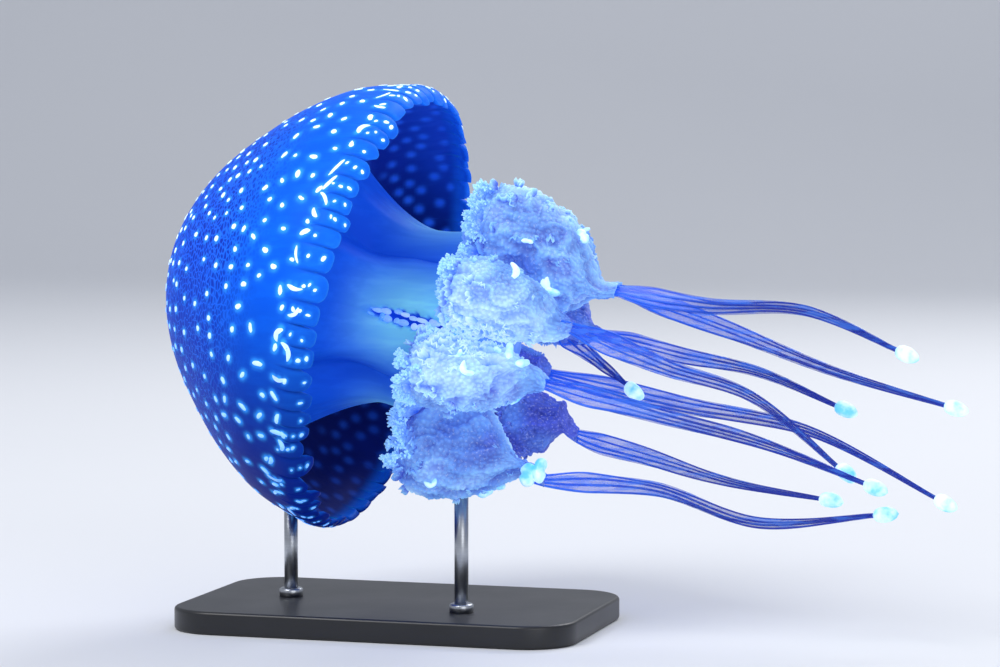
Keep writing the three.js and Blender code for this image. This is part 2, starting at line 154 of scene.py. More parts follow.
# Frills, at even steps from the arm to the tail: reach as a share, inner edge and half width.
FRILL_REACH = [0.86, 0.98, 1, 0.96, 0.88, 0.77, 0.5]
FRILL_INNER = [0.009, 0.009, 0.011, 0.014, 0.018, 0.022, 0]
FRILL_WIDTH = [0.016, 0.019, 0.020, 0.019, 0.016, 0.011, 0.004]
FRILL_TIP = 0.0044
FRILLS_MIDDLE = np.array([0.062, 0, 0.118])  # in the midst of the frills
# Low values on the far arms, the second to the fourth, are painted shade, as they face away from
# the light; the rest is the flesh's own paleness.
FRILL_TONE_AND_SHADE = [0.55, 0.24, 0.12, 0.06, 0.8, 0.86, 0.86, 0.8]  # how pale, arm by arm
FRILL_TAPER = [0.68, 0.82, 0.82, 0.82, 0.68, 0.68, 0.68, 0.68]
SLANTED_ARM = 4  # the lowest near arm, whose inner side slants outwards from early on
SLANTED_FROM = 0.3
PATCH = 0.003  # size of a leaf or finger on the bake map
FILM = 0.00028  # half the thickness of a fan or a web

# Small bright bodies on the near frills: the pixel of the camera's view where each shows, its
# length and half width, the tilt of its length and its bend.
VIEW_SIZE = (1000, 667)
CROWN_SHOWS_AT = (183.5, 259)
BODIES = [
    ((513, 272), 0.0074, 0.0016, 1.5, 0.7),
    ((552, 285), 0.0100, 0.0022, -1.0, 0.9),
    ((582, 236), 0.0064, 0.0024, -0.9, 0.3),
    ((456, 355), 0.0062, 0.0014, 0.5, 0.8),
    ((467, 368), 0.0068, 0.0015, -0.9, 0.9),
    ((509, 354), 0.0090, 0.0019, 1.5, 0.2),
    ((521, 362), 0.0064, 0.0019, 0.0, 0.1),
    ((528, 473), 0.0098, 0.0036, 1.4, 0.3),
    ((538, 472), 0.0104, 0.0031, 1.2, -0.4),
    ((431, 483), 0.0050, 0.0012, 0.3, 1.0),
    ((485, 501), 0.0072, 0.0020, 0.5, 0.2),
    ((508, 494), 0.0050, 0.0016, -0.2, 0.1),
]


def rgb(red, green, blue):
    """A colour as seen on a screen, from 0 to 255, in linear values."""
    shares = (value / 255 for value in (red, green, blue))
    return tuple(v / 12.92 if v <= 0.04045 else ((v + 0.055) / 1.055) ** 2.4 for v in shares)


# ---------- numbers and lines ----------


def smooth(value, low, high):
    """Rises from 0 at low to 1 at high, evenly rounded."""
    t = np.clip((np.asarray(value, float) - low) / (high - low), 0, 1)
    return t * t * (3 - 2 * t)


def blend(first, second, share):
    """Goes from the first number to the second, or does so for each number of two lists."""
    return first + (second - first) * share


def between(first, second, share):
    """Goes from the first colour or point to the second."""
    first, second = np.asarray(first, float), np.asarray(second, float)
    return first + (second - first) * np.asarray(share, float)[..., None]


def painted(shade, *coats):
    """Lays colours over a shade one after the other, each with its own strength."""
    for coat, strength in coats:
        shade = between(shade, coat, strength)
    return shade


def unit(vectors):
    """The same directions with length one."""
    return vectors / np.maximum(np.linalg.norm(vectors, axis=-1, keepdims=True), 1e-12)


def of_list(values, share):
    """Reads an evenly stepped list at a share of its length."""
    return np.interp(np.asarray(share) * (len(values) - 1), range(len(values)), values)


def ring_of(sides):
    """Even angles round a ring."""
    return np.arange(sides) / sides * TURN


def dome(share):
    """Rises from 0 to 1 as a quarter of a circle does."""
    return np.sqrt(1 - (1 - np.clip(share, 0, 1)) ** 2)


class Line:
    """A smooth line through points, walked by shares of its length."""

    def __init__(self, points, per_span=40):
        ends = np.array([points[0], *points, points[-1]], float)
        t = np.linspace(0, 1, per_span, endpoint=False)[:, None]
        spans = []
        for a, b, c, d in zip(ends, ends[1:], ends[2:], ends[3:]):
            leave = (c - a) / 2
            arrive = (d - b) / 2
            cubic = 2 * (b - c) + leave + arrive
            square = 3 * (c - b) - 2 * leave - arrive
            spans.append(((cubic * t + square) * t + leave) * t + b)
        self.points = np.concatenate([*spans, ends[-1:]])
        steps = np.linalg.norm(np.diff(self.points, axis=0), axis=1)
        self.reached = np.concatenate([[0], np.cumsum(steps)])
        self.length = self.reached[-1]

    def at(self, share):
        """Points at shares of the length."""
        wanted = np.asarray(share, float) * self.length
        return np.stack([np.interp(wanted, self.reached, c) for c in self.points.T], -1)

    def heading(self, share):
        """Unit directions of travel at shares of the length."""
        step = 2e-3
        share = np.asarray(share, float)
        return unit(self.at(np.minimum(share + step, 1)) - self.at(np.maximum(share - step, 0)))


def placed(points):
    """Points of the animal's own frame, as depth, up and back, in the row frame."""
    depth, up, back = np.moveaxis(np.asarray(points, float), -1, 0)
    x = depth * math.cos(LEAN) + up * math.sin(LEAN)
    z = up * math.cos(LEAN) - depth * math.sin(LEAN)
    return np.stack([x, back, z], -1) + CROWN


def around(depth, radius, angle):
    """Points of the animal's own frame from depth, radius and angle round the axis."""
    depth, radius, angle = np.broadcast_arrays(depth, radius, angle)
    return np.stack([depth, radius * np.cos(angle), radius * np.sin(angle)], -1)


def nearest(middles, points):
    """For each point, which of the middles is nearest and how far off it is."""
    tree = KDTree(len(middles))
    for index, middle in enumerate(middles):
        tree.insert(middle, index)
    tree.balance()
    found = np.array([tree.find(point)[1:] for point in points.reshape(-1, 3)])
    which, far = found.T.reshape(2, *points.shape[:-1])
    return which.astype(int), far


def surface_tree(mesh):
    """A search tree over the faces of a mesh."""
    points = [vertex.co.copy() for vertex in mesh.vertices]
    return BVHTree.FromPolygons(points, [tuple(face.vertices) for face in mesh.polygons])


def spread(candidates, apart):
    """Keeps each candidate that is far enough from those kept before it, by index."""
    kept = np.zeros((0, 3))
    chosen = []
    for index, point in enumerate(candidates):
        if not len(kept) or np.min(np.sum((kept - point) ** 2, axis=1)) > apart[index] ** 2:
            kept = np.vstack([kept, point])
            chosen.append(index)
    return np.array(chosen)


# ---------- meshes ----------


def grid_faces(rows, columns, closed=True):
    """Squares over a grid of points, whose rows close on themselves if asked."""
    across = columns if closed else columns - 1
    i, j = np.meshgrid(np.arange(rows - 1), np.arange(across), indexing="ij")
    here, after = i * columns, (j + 1) % columns
    corners = [here + j, here + after, here + columns + after, here + columns + j]
    return np.stack(corners, -1).reshape(-1, 4)


def closed_faces(rows, sides):
    """Squares between rings, and triangles from the end rings to a middle point each."""
    ring = np.arange(sides)
    after, last = np.roll(ring, -1), (rows - 1) * sides
    first_end = np.stack([after, ring, np.full(sides, rows * sides)], -1)
    last_end = np.stack([last + ring, last + after, np.full(sides, rows * sides + 1)], -1)
    return grid_faces(rows, sides), np.concatenate([first_end, last_end])


def closed_form(rings, ends=None):
    """Points and faces of rings that are closed at both ends, by points midmost unless given."""
    if ends is None:
        ends = rings[0].mean(0), rings[-1].mean(0)
    return np.vstack([rings.reshape(-1, 3), *ends]), *closed_faces(*rings.shape[:2])


def with_ends(grid):
    """Colours or map places of rings, then those of their two end points."""
    return np.vstack([grid.reshape(-1, grid.shape[-1]), grid[0, 0], grid[-1, 0]])


def build_mesh(name, points, quads, triangles=(), tint=None, bake=None):
    """A smooth mesh with an optional colour for each point and an optional bake map."""
    corners = np.concatenate([np.ravel(quads), np.ravel(triangles)]).astype(np.int32)
    sizes = np.repeat([4, 3], [len(quads), len(triangles)])
    starts = np.concatenate([[0], np.cumsum(sizes)[:-1]]).astype(np.int32)
    mesh = bpy.data.meshes.new(name)
    mesh.vertices.add(len(points))
    mesh.vertices.foreach_set("co", np.asarray(points, np.float32).ravel())
    mesh.loops.add(len(corners))
    mesh.loops.foreach_set("vertex_index", corners)
    mesh.polygons.add(len(starts))
    mesh.polygons.foreach_set("loop_start", starts)
    mesh.update(calc_edges=True)
    mesh.polygons.foreach_set("use_smooth", np.ones(len(starts), bool))
    if tint is not None:
        colours = np.ones((len(points), 4), np.float32)
        colours[:, : tint.shape[1]] = tint
        layer = mesh.color_attributes.new("tint", "FLOAT_COLOR", "POINT")
        layer.data.foreach_set("color", colours.ravel())
    if bake is not None:
        layer = mesh.uv_layers.new(name="OFBake")
        layer.data.foreach_set("uv", np.asarray(bake, np.float32)[corners].ravel())
    return mesh


def new_object(data):
    """An object of a mesh, lamp or camera, in the scene."""
    made = bpy.data.objects.new(data.name, data)
    bpy.context.scene.collection.objects.link(made)
    return made


def add_piece(mesh, material, nodes=()):
    """Puts a mesh in the scene as a piece of the part, in place of the solids it stands for."""
    piece = new_object(mesh)
    mesh.materials.append(material)
    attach(piece, "root")
    if nodes:
        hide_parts(*nodes)


class Batch:
    """Many small meshes gathered into one."""

    def __init__(self):
        self.parts = []
        self.count = 0

    def add(self, points, quads, triangles=(), tint=None, bake=None):
        """Adds one mesh, whose faces count from its own first point."""
        points = np.reshape(points, (-1, 3))
        quads = np.reshape(quads, (-1, 4)) + self.count
        triangles = np.reshape(triangles, (-1, 3)).astype(int) + self.count
        tint = None if tint is None else np.broadcast_to(tint, points.shape)
        bake = None if bake is None else np.reshape(bake, (-1, 2))
        self.parts.append((points, quads, triangles, tint, bake))
        self.count += len(points)

    def mesh(self, name):
        """The gathered mesh."""
        columns = (None if c[0] is None else np.concatenate(c) for c in zip(*self.parts))
        return build_mesh(name, *columns)


# ---------- shader expressions ----------


def math_node(operation, reflected=False):
    """An operator that adds the Math node which works it out."""

    def operator(self, other):
        pair = (other, self) if reflected else (self, other)
        return self.graph.node("ShaderNodeMath", {"operation": operation}, dict(enumerate(pair)))

    return operator


class Value:
    """A socket of a shader, for sums and products."""

    def __init__(self, graph, socket):
        self.graph = graph
        self.socket = socket

    __add__, __radd__ = math_node("ADD"), math_node("ADD", True)
    __sub__, __rsub__ = math_node("SUBTRACT"), math_node("SUBTRACT", True)
    __mul__, __rmul__ = math_node("MULTIPLY"), math_node("MULTIPLY", True)


class Graph:
    """A material and its nodes."""

    def __init__(self, name):
        self.material = bpy.data.materials.new(name)
        self.material.use_nodes = True
        self.nodes = self.material.node_tree.nodes
        self.links = self.material.node_tree.links
        self.nodes.clear()

    def node(self, kind, settings=None, sockets=None, output=0):
        """Adds a node: first its settings, then the values or links of its sockets."""
        made = self.nodes.new(kind)
        for name, value in (settings or {}).items():
            setattr(made, name, value)
        for name, value in (sockets or {}).items():
            if isinstance(value, Value):
                self.links.new(value.socket, made.inputs[name])
            else:
                made.inputs[name].default_value = value
        return Value(self, made.outputs[output]) if made.outputs else made

    def tint(self):
        """The colour stored on the mesh's points."""
        return self.node("ShaderNodeAttribute", {"attribute_name": "tint"})

    def strength(self):
        """The number stored beside that colour."""
        return self.node("ShaderNodeAttribute", {"attribute_name": "tint"}, output="Alpha")

    def place(self, stretch=(1, 1, 1)):
        """The point's place in the row frame, stretched along the axes."""
        here = self.node("ShaderNodeTexCoord", output="Object")
        return self.node("ShaderNodeVectorMath", {"operation": "MULTIPLY"}, {0: here, 1: stretch})

    def noise(self, scale, detail=3, stretch=(1, 1, 1), output=0):
        """Cloudy noise from 0 to 1."""
        sockets = {"Vector": self.place(stretch), "Scale": scale, "Detail": detail}
        return self.node("ShaderNodeTexNoise", sockets=sockets, output=output)

    def step(self, value, low, high):
        """Rises smoothly from 0 where the value is low to 1 where it is high."""
        settings = {"interpolation_type": "SMOOTHSTEP"}
        sockets = {"Value": value, "From Min": low, "From Max": high}
        return self.node("ShaderNodeMapRange", settings, sockets)

    def mix(self, first, second, factor, kind="MIX"):
        """Goes from the first colour to the second."""
        settings = {"data_type": "RGBA", "blend_type": kind}
        colours = [c if isinstance(c, Value) else (*c, 1) for c in (first, second)]
        return self.node("ShaderNodeMix", settings, {0: factor, 6: colours[0], 7: colours[1]}, 2)

    def bump(self, height, distance, strength=1.0):
        """A normal that follows a height."""
        sockets = {"Height": height, "Distance": distance, "Strength": strength}
        return self.node("ShaderNodeBump", sockets=sockets)

    def finish(self, colour, glow=0.0, **sockets):
        """Ends the material in one glossy shader, whose glow is a share of its own colour."""
        plain = colour if isinstance(colour, Value) else (*colour, 1)
        inputs = {name.replace("_", " "): value for name, value in sockets.items()}
        inputs["Base Color"] = plain
        if glow:
            inputs.setdefault("Emission Color", plain)
            inputs["Emission Strength"] = glow
        shader = self.node("ShaderNodeBsdfPrincipled", sockets=inputs)
        self.node("ShaderNodeOutputMaterial", sockets={"Surface": shader})
        return self.material


# ---------- settings ----------


def length(name, description, default):
    """A length that the user may change."""
    return FloatProperty(
        name=name, description=description, default=default, min=0, unit="LENGTH", precision=4
    )


def colour(name, description, *screen):
    """A colour that the user may change."""
    return FloatVectorProperty(
        name=name, description=description, default=rgb(*screen), subtype="COLOR", min=0, max=1
    )


def share_of(name, description, default):
    """A share from 0 to 1 that the user may change."""
    return FloatProperty(
        name=name, description=description, default=default, min=0, max=1, subtype="FACTOR"
    )


def angle_of(name, description, degrees):
    """An angle that the user may change."""
    return FloatProperty(
        name=name, description=description, default=math.radians(degrees), subtype="ANGLE"
    )


def count_of(name, description, default):
    """A whole number that the user may change."""
    return IntProperty(name=name, description=description, default=default, min=1)


class JellyfishSkin(bpy.types.PropertyGroup):
    """Bell, column and arms."""

    notch: share_of("Notch", "How far the margin is cut back between lappets", 0.072)
    furrow: length("Furrow", "Depth of the furrow that runs up from a notch", 0.0005)
    bulge: length("Bulge", "How far the middle of a lappet stands out", 0.0002)
    curl: length("Curl", "How far a lappet may bend out or in at its tip", 0.0018)
    crown: colour("Crown", "Bell between its crown and the smooth part", 16, 74, 210)
    network: colour("Network", "Fine lines over the bell", 44, 122, 250)
    cell: colour("Cell", "Dark cells of the network", 10, 46, 168)
    shoulder: colour("Shoulder", "Smooth part of the bell above the margin", 10, 97, 230)
    lappet: colour("Lappet", "Lappets of the margin", 28, 118, 236)
    edge: colour("Edge", "Thin rims of the lappets", 44, 128, 244)
    # Inside: painted shade, the deep dark blue of the bell's hollow and of the column's root within
    # it
    inside: colour("Inside", "Hollow of the bell", 3, 13, 74)
    # Shine: also painted light on the upper side of the bell's inside
    shine: colour("Shine", "Spots that show through inside the bell", 34, 98, 220)
    column: colour("Column", "Pillars and arms", 22, 92, 226)
    ridge: colour("Ridge", "Middle of each pillar, towards its arms", 146, 240, 255)
    # Hollow: painted shade in furrows, windows, grooves and on the column's top, painted light on
    # the upper inside of the bell, and random mottle over the jelly
    shade_and_mottle: colour("Hollow", "Hollows between the pillars", 8, 48, 168)
    slot: colour("Slot", "Bottom of the slots of the column", 24, 84, 214)
    flesh: colour("Flesh", "Ends of the arms, under the frills", 116, 164, 246)
    # Under: painted shade on the bell's lower side, where less light falls
    under: colour("Under", "Side of the bell that faces down", 2, 20, 116)


class JellyfishSpots(bpy.types.PropertyGroup):
    """Raised white spots of the bell."""

    radius: length("Radius", "Radius of a middling spot", 0.00105)
    apart: length("Apart", "Least distance between two spots near the crown", 0.0099)
    height: share_of("Height", "Height of a spot as a share of its radius", 0.85)
    halo: length("Halo", "How far a spot's light reaches in the skin", 0.0014)
    white: colour("White", "Colour of the spots", 232, 248, 255)
    glow: colour("Glow", "Skin beside a spot", 60, 170, 255)
    # Dim: painted shade on the spots of the bell's lower side
    shaded_underside_white: colour("Dim", "Spots on the side that faces down", 66, 150, 250)
    seed: count_of("Seed", "Changes where the spots lie", 7)


class JellyfishFrills(bpy.types.PropertyGroup):
    """Ruffled frills of the eight arms."""

    fold: length("Fold", "Depth of the folds", 0.0032)
    fold_size: length("Fold size", "Distance between folds", 0.015)
    lump: length("Lump", "How far the rounded lumps stand out", 0.0011)
    lump_apart: length("Lump distance", "Least distance between two lumps", 0.0075)
    grain: length("Grain", "Radius of the finest beads", 0.00085)
    leaves: count_of("Leaves", "Small ruffles on each arm", 110)
    leaf_width: length("Leaf width", "Width of a middling ruffle", 0.0060)
    leaf_height: length("Leaf height", "How far a ruffle stands out", 0.0034)
    fans: count_of("Fans", "Places for fans on each arm", 8)
    fingers: count_of("Fingers", "Fingers in each fan", 28)
    finger_length: length("Fan size", "Reach of a middling fan", 0.0098)
    finger_radius: length("Finger radius", "Radius of a middling finger", 0.00050)
    pale: colour("Pale", "Palest flesh", 202, 238, 255)
    flesh: colour("Flesh", "Middling flesh", 110, 174, 250)
    shade: colour("Shade", "Dull flesh", 82, 100, 218)
    # Dusk: painted shade in the folds and gaps of the frills
    fold_shade: colour("Dusk", "Folds and gaps", 24, 36, 136)
    bead: colour("Bead", "Tips of the fans", 170, 226, 255)
    # Web: also painted shade at the roots and between the fingers
    web: colour("Web", "Roots of the fans", 34, 88, 220)
    seed: count_of("Seed", "Changes the folds and fans", 21)


class JellyfishTails(bpy.types.PropertyGroup):
    """Long strands that hang from the frills, and their clubs."""

    strands: count_of("Strands", "Strands in each tail", 4)
    spread: length("Spread", "Half the width of a tail at its root", 0.0040)
    thick: length("Thickness", "Radius of a strand at the root", 0.00050)
    root: colour("Root", "Strands near the frills", 36, 108, 240)
    end: colour("End", "Strands near the clubs", 12, 40, 158)
    web: colour("Web", "Web between the strands", 22, 88, 236)
    club: colour("Club", "Body of a club", 96, 190, 255)
    club_tip: colour("Club tip", "Brightest part of a club", 214, 244, 255)


class JellyfishStand(bpy.types.PropertyGroup):
    """Display stand."""

    corner: length("Corner", "Radius of the base's corners", 0.022)
    bevel: length("Bevel", "Rounding of the base's edges", 0.0015)
    collar: length("Collar", "Radius of the collar round each rod", 0.0052)
    base: colour("Base", "Satin lacquer of the base", 26, 27, 31)
    steel: colour("Steel", "Brushed metal of the rods", 186, 190, 196)


class JellyfishStage(bpy.types.PropertyGroup):
    """Camera, lights and floor."""

    azimuth: angle_of("Azimuth", "Camera's turn round the part", 16.5)
    elevation: angle_of("Elevation", "Camera's height as an angle", 4)
    distance: length("Distance", "From the camera to the part", 1.5)
    across: length("Across", "Width that the camera sees at that distance", 0.4425)
    floor: colour("Floor", "Pale floor and backdrop", 226, 228, 232)


# ---------- bell and column ----------

BELL = Line([(d * BELL_DEPTH, r * BELL_RADIUS) for d, r in BELL_OUTLINE])


def wall_at(share):
    """Thickness of the bell's wall at a share of its outline."""
    rim_at, rim = WALL["rim_at"], WALL["rim"]
    thins = blend(WALL["crown"], rim, (np.clip(share, 0, 1) / rim_at) ** WALL["fall"])
    return np.where(share < rim_at, thins, blend(rim, WALL["tip"], (share - rim_at) / (1 - rim_at)))


def bell_normal(share):
    """Outward direction of the bell's outline, as depth and radius."""
    along = BELL.heading(share)
    return np.stack([-along[..., 1], along[..., 0]], -1)


def lappets_passed(angle):
    """How many lappets lie before an angle. Some are wider than others."""
    angle = np.asarray(angle, float)
    uneven = 0.022 * np.sin(7 * angle + 1) + 0.013 * np.sin(13 * angle + 2)
    return (angle + uneven) * LAPPETS / TURN


def angle_after(passed):
    """Angle that has a number of lappets before it."""
    angles = np.linspace(-0.5, 7, 6000)
    return np.interp(passed, lappets_passed(angles), angles)


def lappet_place(angle):
    """Where an angle lies across its lappet: -1 and 1 in the notches, 0 in the middle."""
    return lappets_passed(angle) % 1 * 2 - 1


def lappet_traits(angle):
    """Of the lappet at an angle: shortness, squareness, curl and tilt, each from 0 to 1."""
    number = np.floor(lappets_passed(angle) + 1e-4).astype(int)
    traits = np.random.default_rng(SEEDS["lappets"]).random((LAPPETS, 4))
    return np.moveaxis(traits[number % LAPPETS], -1, 0)


def lappet_length(angle, notch):
    """Share of the outline where the margin ends at an angle."""
    across = np.minimum(np.abs(lappet_place(angle)), 1)
    short, square, _, _ = lappet_traits(angle)
    octant = np.round(lappets_passed(angle)) % (LAPPETS // 8) == 0
    cut_back = 1 - np.sqrt(1 - across ** (2.2 + 3.2 * square))
    deeper = 0.02 * (octant & (across > 0.999))
    return 1 - 0.034 * short * (1 - across**6) - notch * cut_back - deeper


def relief(share, angle, skin):
    """How far the outer face stands out of, or lies under, the plain outline."""
    place = lappet_place(angle)
    _, _, curl, tilt = lappet_traits(angle)
    between_two = np.exp(-(((1 - np.abs(place)) / 0.13) ** 2))
    furrow = skin.furrow * between_two * smooth(share, 0.84, 0.94)
    loose = np.clip((share - 1 + skin.notch) / skin.notch, 0, 1) ** 1.5
    bend = skin.curl * loose * ((curl - 0.62) * 1.5 + (tilt - 0.3) * place)
    return skin.bulge * (1 - place**2) * smooth(share, 0.88, 0.97) - furrow + bend


def bell_face(share, angle, skin):
    """Points of the bell's outer face, in the animal's own frame."""
    flat = BELL.at(share) + bell_normal(share) * relief(share, angle, skin)[..., None]
    return around(flat[..., 0], flat[..., 1], angle)


def beside_pillar(angle):
    """How far an angle is from the middle of the nearest pillar."""
    return np.abs((angle - TWIST + QUARTER / 2) % QUARTER - QUARTER / 2)


def window_at(angle, depth):
    """Hollowness between two pillars, from 0 to 1."""
    aside = (QUARTER / 2 - beside_pillar(angle)) / WINDOW_HALF
    along = smooth(depth, WINDOW["from"], WINDOW["deepest"])
    return (along - smooth(depth, WINDOW["up_to"], WINDOW["to"])) * (1 - smooth(aside, 0, 1))


def slot_at(angle, depth, radius):
    """Depth of the slot down the middle of each pillar, from 0 to 1."""
    aside = beside_pillar(angle) * radius
    middle = (SLOT["from"] + SLOT["to"]) / 2
    half = (SLOT["to"] - SLOT["from"]) / 2
    along = (depth - middle) / half
    ragged = 1 + 0.16 * np.sin(depth * 900 + angle * 3) + 0.1 * np.sin(depth * 2100)
    return 1 - smooth(np.hypot(along, aside / SLOT["half"] * ragged), 0.75, 1.15)


def arm_groove(angle, depth):
    """Furrow between two arms, from 0 to 1."""
    wave = np.abs(np.sin(math.pi / ARM_SPAN * (angle - TWIST)))
    return (1 - wave**0.6) * smooth(depth, 0.072, 0.136)


def column_angles(per_lappet=10):
    """Angles round the axis, closer together at the notches."""
    even = np.linspace(-1, 1, per_lappet, endpoint=False)
    across = (even + 0.13 * np.sin(math.pi * even) + 1) / 2
    return angle_after((np.arange(LAPPETS)[:, None] + across).ravel())


def outer_rows(angles, skin):
    """Grid of the bell's outer face: points, shares of the outline and shares to the edge."""
    rows = np.concatenate([np.linspace(0.004, MARGIN_AT, 108), np.linspace(MARGIN_AT, 1, 46)[1:]])
    ends = lappet_length(angles, skin.notch)
    past = np.clip((rows - MARGIN_AT) / (1 - MARGIN_AT), 0, 1)[:, None]
    shares = np.minimum(rows, MARGIN_AT)[:, None] + past * (ends - MARGIN_AT)
    return bell_face(shares, angles[None, :], skin), shares, (ends - shares) * BELL.length


def inner_rows(angles, skin, from_share=0.665):
    """Grid of the bell's inner face, from the lappet tips back towards the column."""
    rows = np.concatenate([np.linspace(1, 0.93, 12), np.linspace(0.93, MARGIN_AT, 22)[1:]])
    ends = lappet_length(angles, skin.notch)
    past = ((rows - MARGIN_AT) / (1 - MARGIN_AT))[:, None]
    shares = MARGIN_AT + past * (ends - MARGIN_AT)
    deeper = np.linspace(MARGIN_AT, from_share, 18)[1:, None]
    shares = np.concatenate([shares, np.broadcast_to(deeper, (len(deeper), len(angles)))])
    rounding = dome((ends - shares) * BELL.length / 0.0014)
    thick = blend(0.0002, wall_at(shares), rounding)
    risen = relief(shares, angles[None, :], skin)
    follow = smooth(shares, 0.9, 0.95)
    flat = BELL.at(shares) - bell_normal(shares) * (thick - risen * follow)[..., None]
    points = around(flat[..., 0], flat[..., 1], angles[None, :])
    start = rounding < 0.02
    points[start] = bell_face(shares, angles[None, :], skin)[start]
    return points, shares


def column_rows(angles):
    """Grid of the column and the arms' trunks, with the hollows, slots and furrows."""
    line = Line([*FOLD, *COLUMN_OUTLINE])
    flat = line.at(np.linspace(0, 1, 124))
    depth, radius = flat[:, :1], flat[:, 1:]
    angle = angles[None, :]
    window = window_at(angle, depth)
    groove = arm_groove(angle, depth)
    slot = slot_at(angle, depth, radius)
    taken = WINDOW["share"] * window + 0.17 * groove
    deepest = SLOT["deep"] * slot
    return around(depth, radius * (1 - taken) - deepest, angle), window, groove, slot


def lower_side_shade(angle):
    """How far an angle round the axis is on the lower side, from 0 to 1: how much painted shade it
    gets, as less light from above falls there.
    """
    return smooth(-np.cos(angle), -0.35, 0.8)


def skin_colours(shares, to_edge, angles, skin):
    """Colour of the bell's outer face, with painted shade in the furrows and on the lower side, and
    the strength of its network.
    """
    across = np.abs(lappet_place(angles))[None, :]
    furrow = np.exp(-(((1 - across) / 0.13) ** 2)) * smooth(shares, 0.845, 0.92)
    rim = np.exp(-((np.clip(to_edge, 0, 1) / 0.0009) ** 2))
    plain = painted(
        skin.crown,
        (skin.shoulder, smooth(shares, 0.46, 0.72)),
        (skin.lappet, smooth(shares, 0.80, 0.95) * 0.7),
        # painted shade in the furrows between the lappets
        (skin.shade_and_mottle, furrow * 0.6),
        (skin.shoulder, smooth(shares, 0.93, 1.0) * 0.5),
        (skin.edge, rim * 0.4),
        # painted shade: the lower side of the bell is darker, as light falls from above
        (skin.under, lower_side_shade(angles)[None, :] * smooth(shares, 0.05, 0.45) * 0.95),
    )
    return plain, 1 - smooth(shares, 0.56, 0.80)


def trunk_colours(depth, angles, window, groove, slot, skin):
    """Colour of the column and of the arms' trunks, with painted shade at its root inside the bell,
    in its windows and furrows and on its top side.
    """
    near_middle = np.exp(-((beside_pillar(angles) / math.radians(26)) ** 2))
    # upper marks the column's top side, which gets painted shade against the light that falls on it
    # from above
    upper = smooth(np.cos(angles), 0.7, 1.0) * smooth(depth, 0.07, 0.1)
    shade = between(skin.column, skin.ridge, near_middle * smooth(depth, 0.084, 0.122))
    return painted(
        # the root inside the bell takes the bell's painted inside shade
        between(skin.inside, shade, smooth(depth, 0.050, 0.066)),
        # painted shade in the windows between the pillars and the furrows between the arms
        (skin.shade_and_mottle, window * 0.3),
        (skin.shade_and_mottle, groove * 0.3),
        # painted shade on the column's top side
        (skin.shade_and_mottle, upper * 0.4),
        (skin.flesh, smooth(depth, 0.137, 0.146)),
        (skin.slot, smooth(slot, 0.15, 0.9)),
    )


def disc_map(middle, size, spread_share, angles):
    """Places on the bake map: a disc, from its middle out."""
    turned = np.stack([np.cos(angles), np.sin(angles)], -1)
    return np.asarray(middle) + (spread_share * size)[..., None] * turned


def inner_discs(spots):
    """Middles of the soft, pale discs of the bell's inner face."""
    random = np.random.default_rng(spots.seed + 1)
    tries = 6000
    share, angle = random.uniform(0.62, 0.91, tries), random.uniform(0, TURN, tries)
    points = around(*BELL.at(share).T, angle)
    return points[spread(points, spots.apart * random.uniform(0.66, 0.92, tries))]


def skin_mesh(skin, spots, layout):
    """The whole soft body in one closed skin, from the crown over the rim to the arms' ends."""
    angles = column_angles()
    outer, outer_shares, to_edge = outer_rows(angles, skin)
    inner, inner_shares = inner_rows(angles, skin)
    trunk, window, groove, slot = column_rows(angles)
    grid = np.concatenate([outer, inner[1:], trunk])
    points, *faces = closed_form(grid)

    plain, network = skin_colours(outer_shares, to_edge, angles, skin)
    halo_points, halo_sizes = halo_of(layout, skin)
    which, far = nearest(halo_points, outer)
    reach = spots.halo * blend(1, 0.55, smooth(outer_shares, 0.84, 0.92))
    glow = np.exp(-((np.maximum(far - halo_sizes[which], 0) / reach) ** 2))
    plain = between(plain, spots.glow, glow * 0.8)

    shares = inner_shares[1:]
    _, far = nearest(inner_discs(spots), bell_face(shares, angles[None, :], skin))
    # above: the upper side of the bell's inner face, which gets painted light
    above = smooth(np.cos(angles), 0.2, 1) * np.ones(shares.shape)
    # soft pale discs, dimmed by painted shade on the lower side
    soft = np.exp(-((far / 0.0024) ** 3)) * (0.85 - 0.6 * lower_side_shade(angles))
    # the inner face: painted deep shade, lighter by painted light on its upper side and towards the
    # rim
    under = painted(
        skin.inside,
        (skin.shade_and_mottle, above * 0.75),
        (skin.shade_and_mottle, smooth(shares, 0.78, 0.93) * (0.1 + 0.5 * above)),
        (skin.shine, smooth(shares, 0.7, 0.9) * above * 0.35),
        (skin.shine, soft * smooth(shares, 0.66, 0.74)),
        (skin.lappet, smooth(shares, 0.89, 0.96) * 0.6),
    )

    trunk_plain = trunk_colours(trunk[..., 0], angles[None, :], window, groove, slot, skin)
    tint = np.concatenate([plain, under, trunk_plain])
    strength = np.zeros(tint.shape[:2])
    strength[: len(outer)] = network * (1 - glow)
    tint = np.dstack([tint, strength]).reshape(-1, 4)
    tint = np.vstack([tint, [*skin.crown, 1], [*skin.flesh, 0]])

    outside, inside = (0.36, 0.64), (0.77, 0.23)
    rest = np.linspace(1, 0.004, len(grid) - len(outer))[:, None] * np.ones(len(angles))
    maps = disc_map(outside, 0.35, outer_shares, angles), disc_map(inside, 0.21, rest, angles)
    bake = np.vstack([np.concatenate(maps).reshape(-1, 2), outside, inside])
    return build_mesh("body_skin", placed(points), *faces, tint, bake)


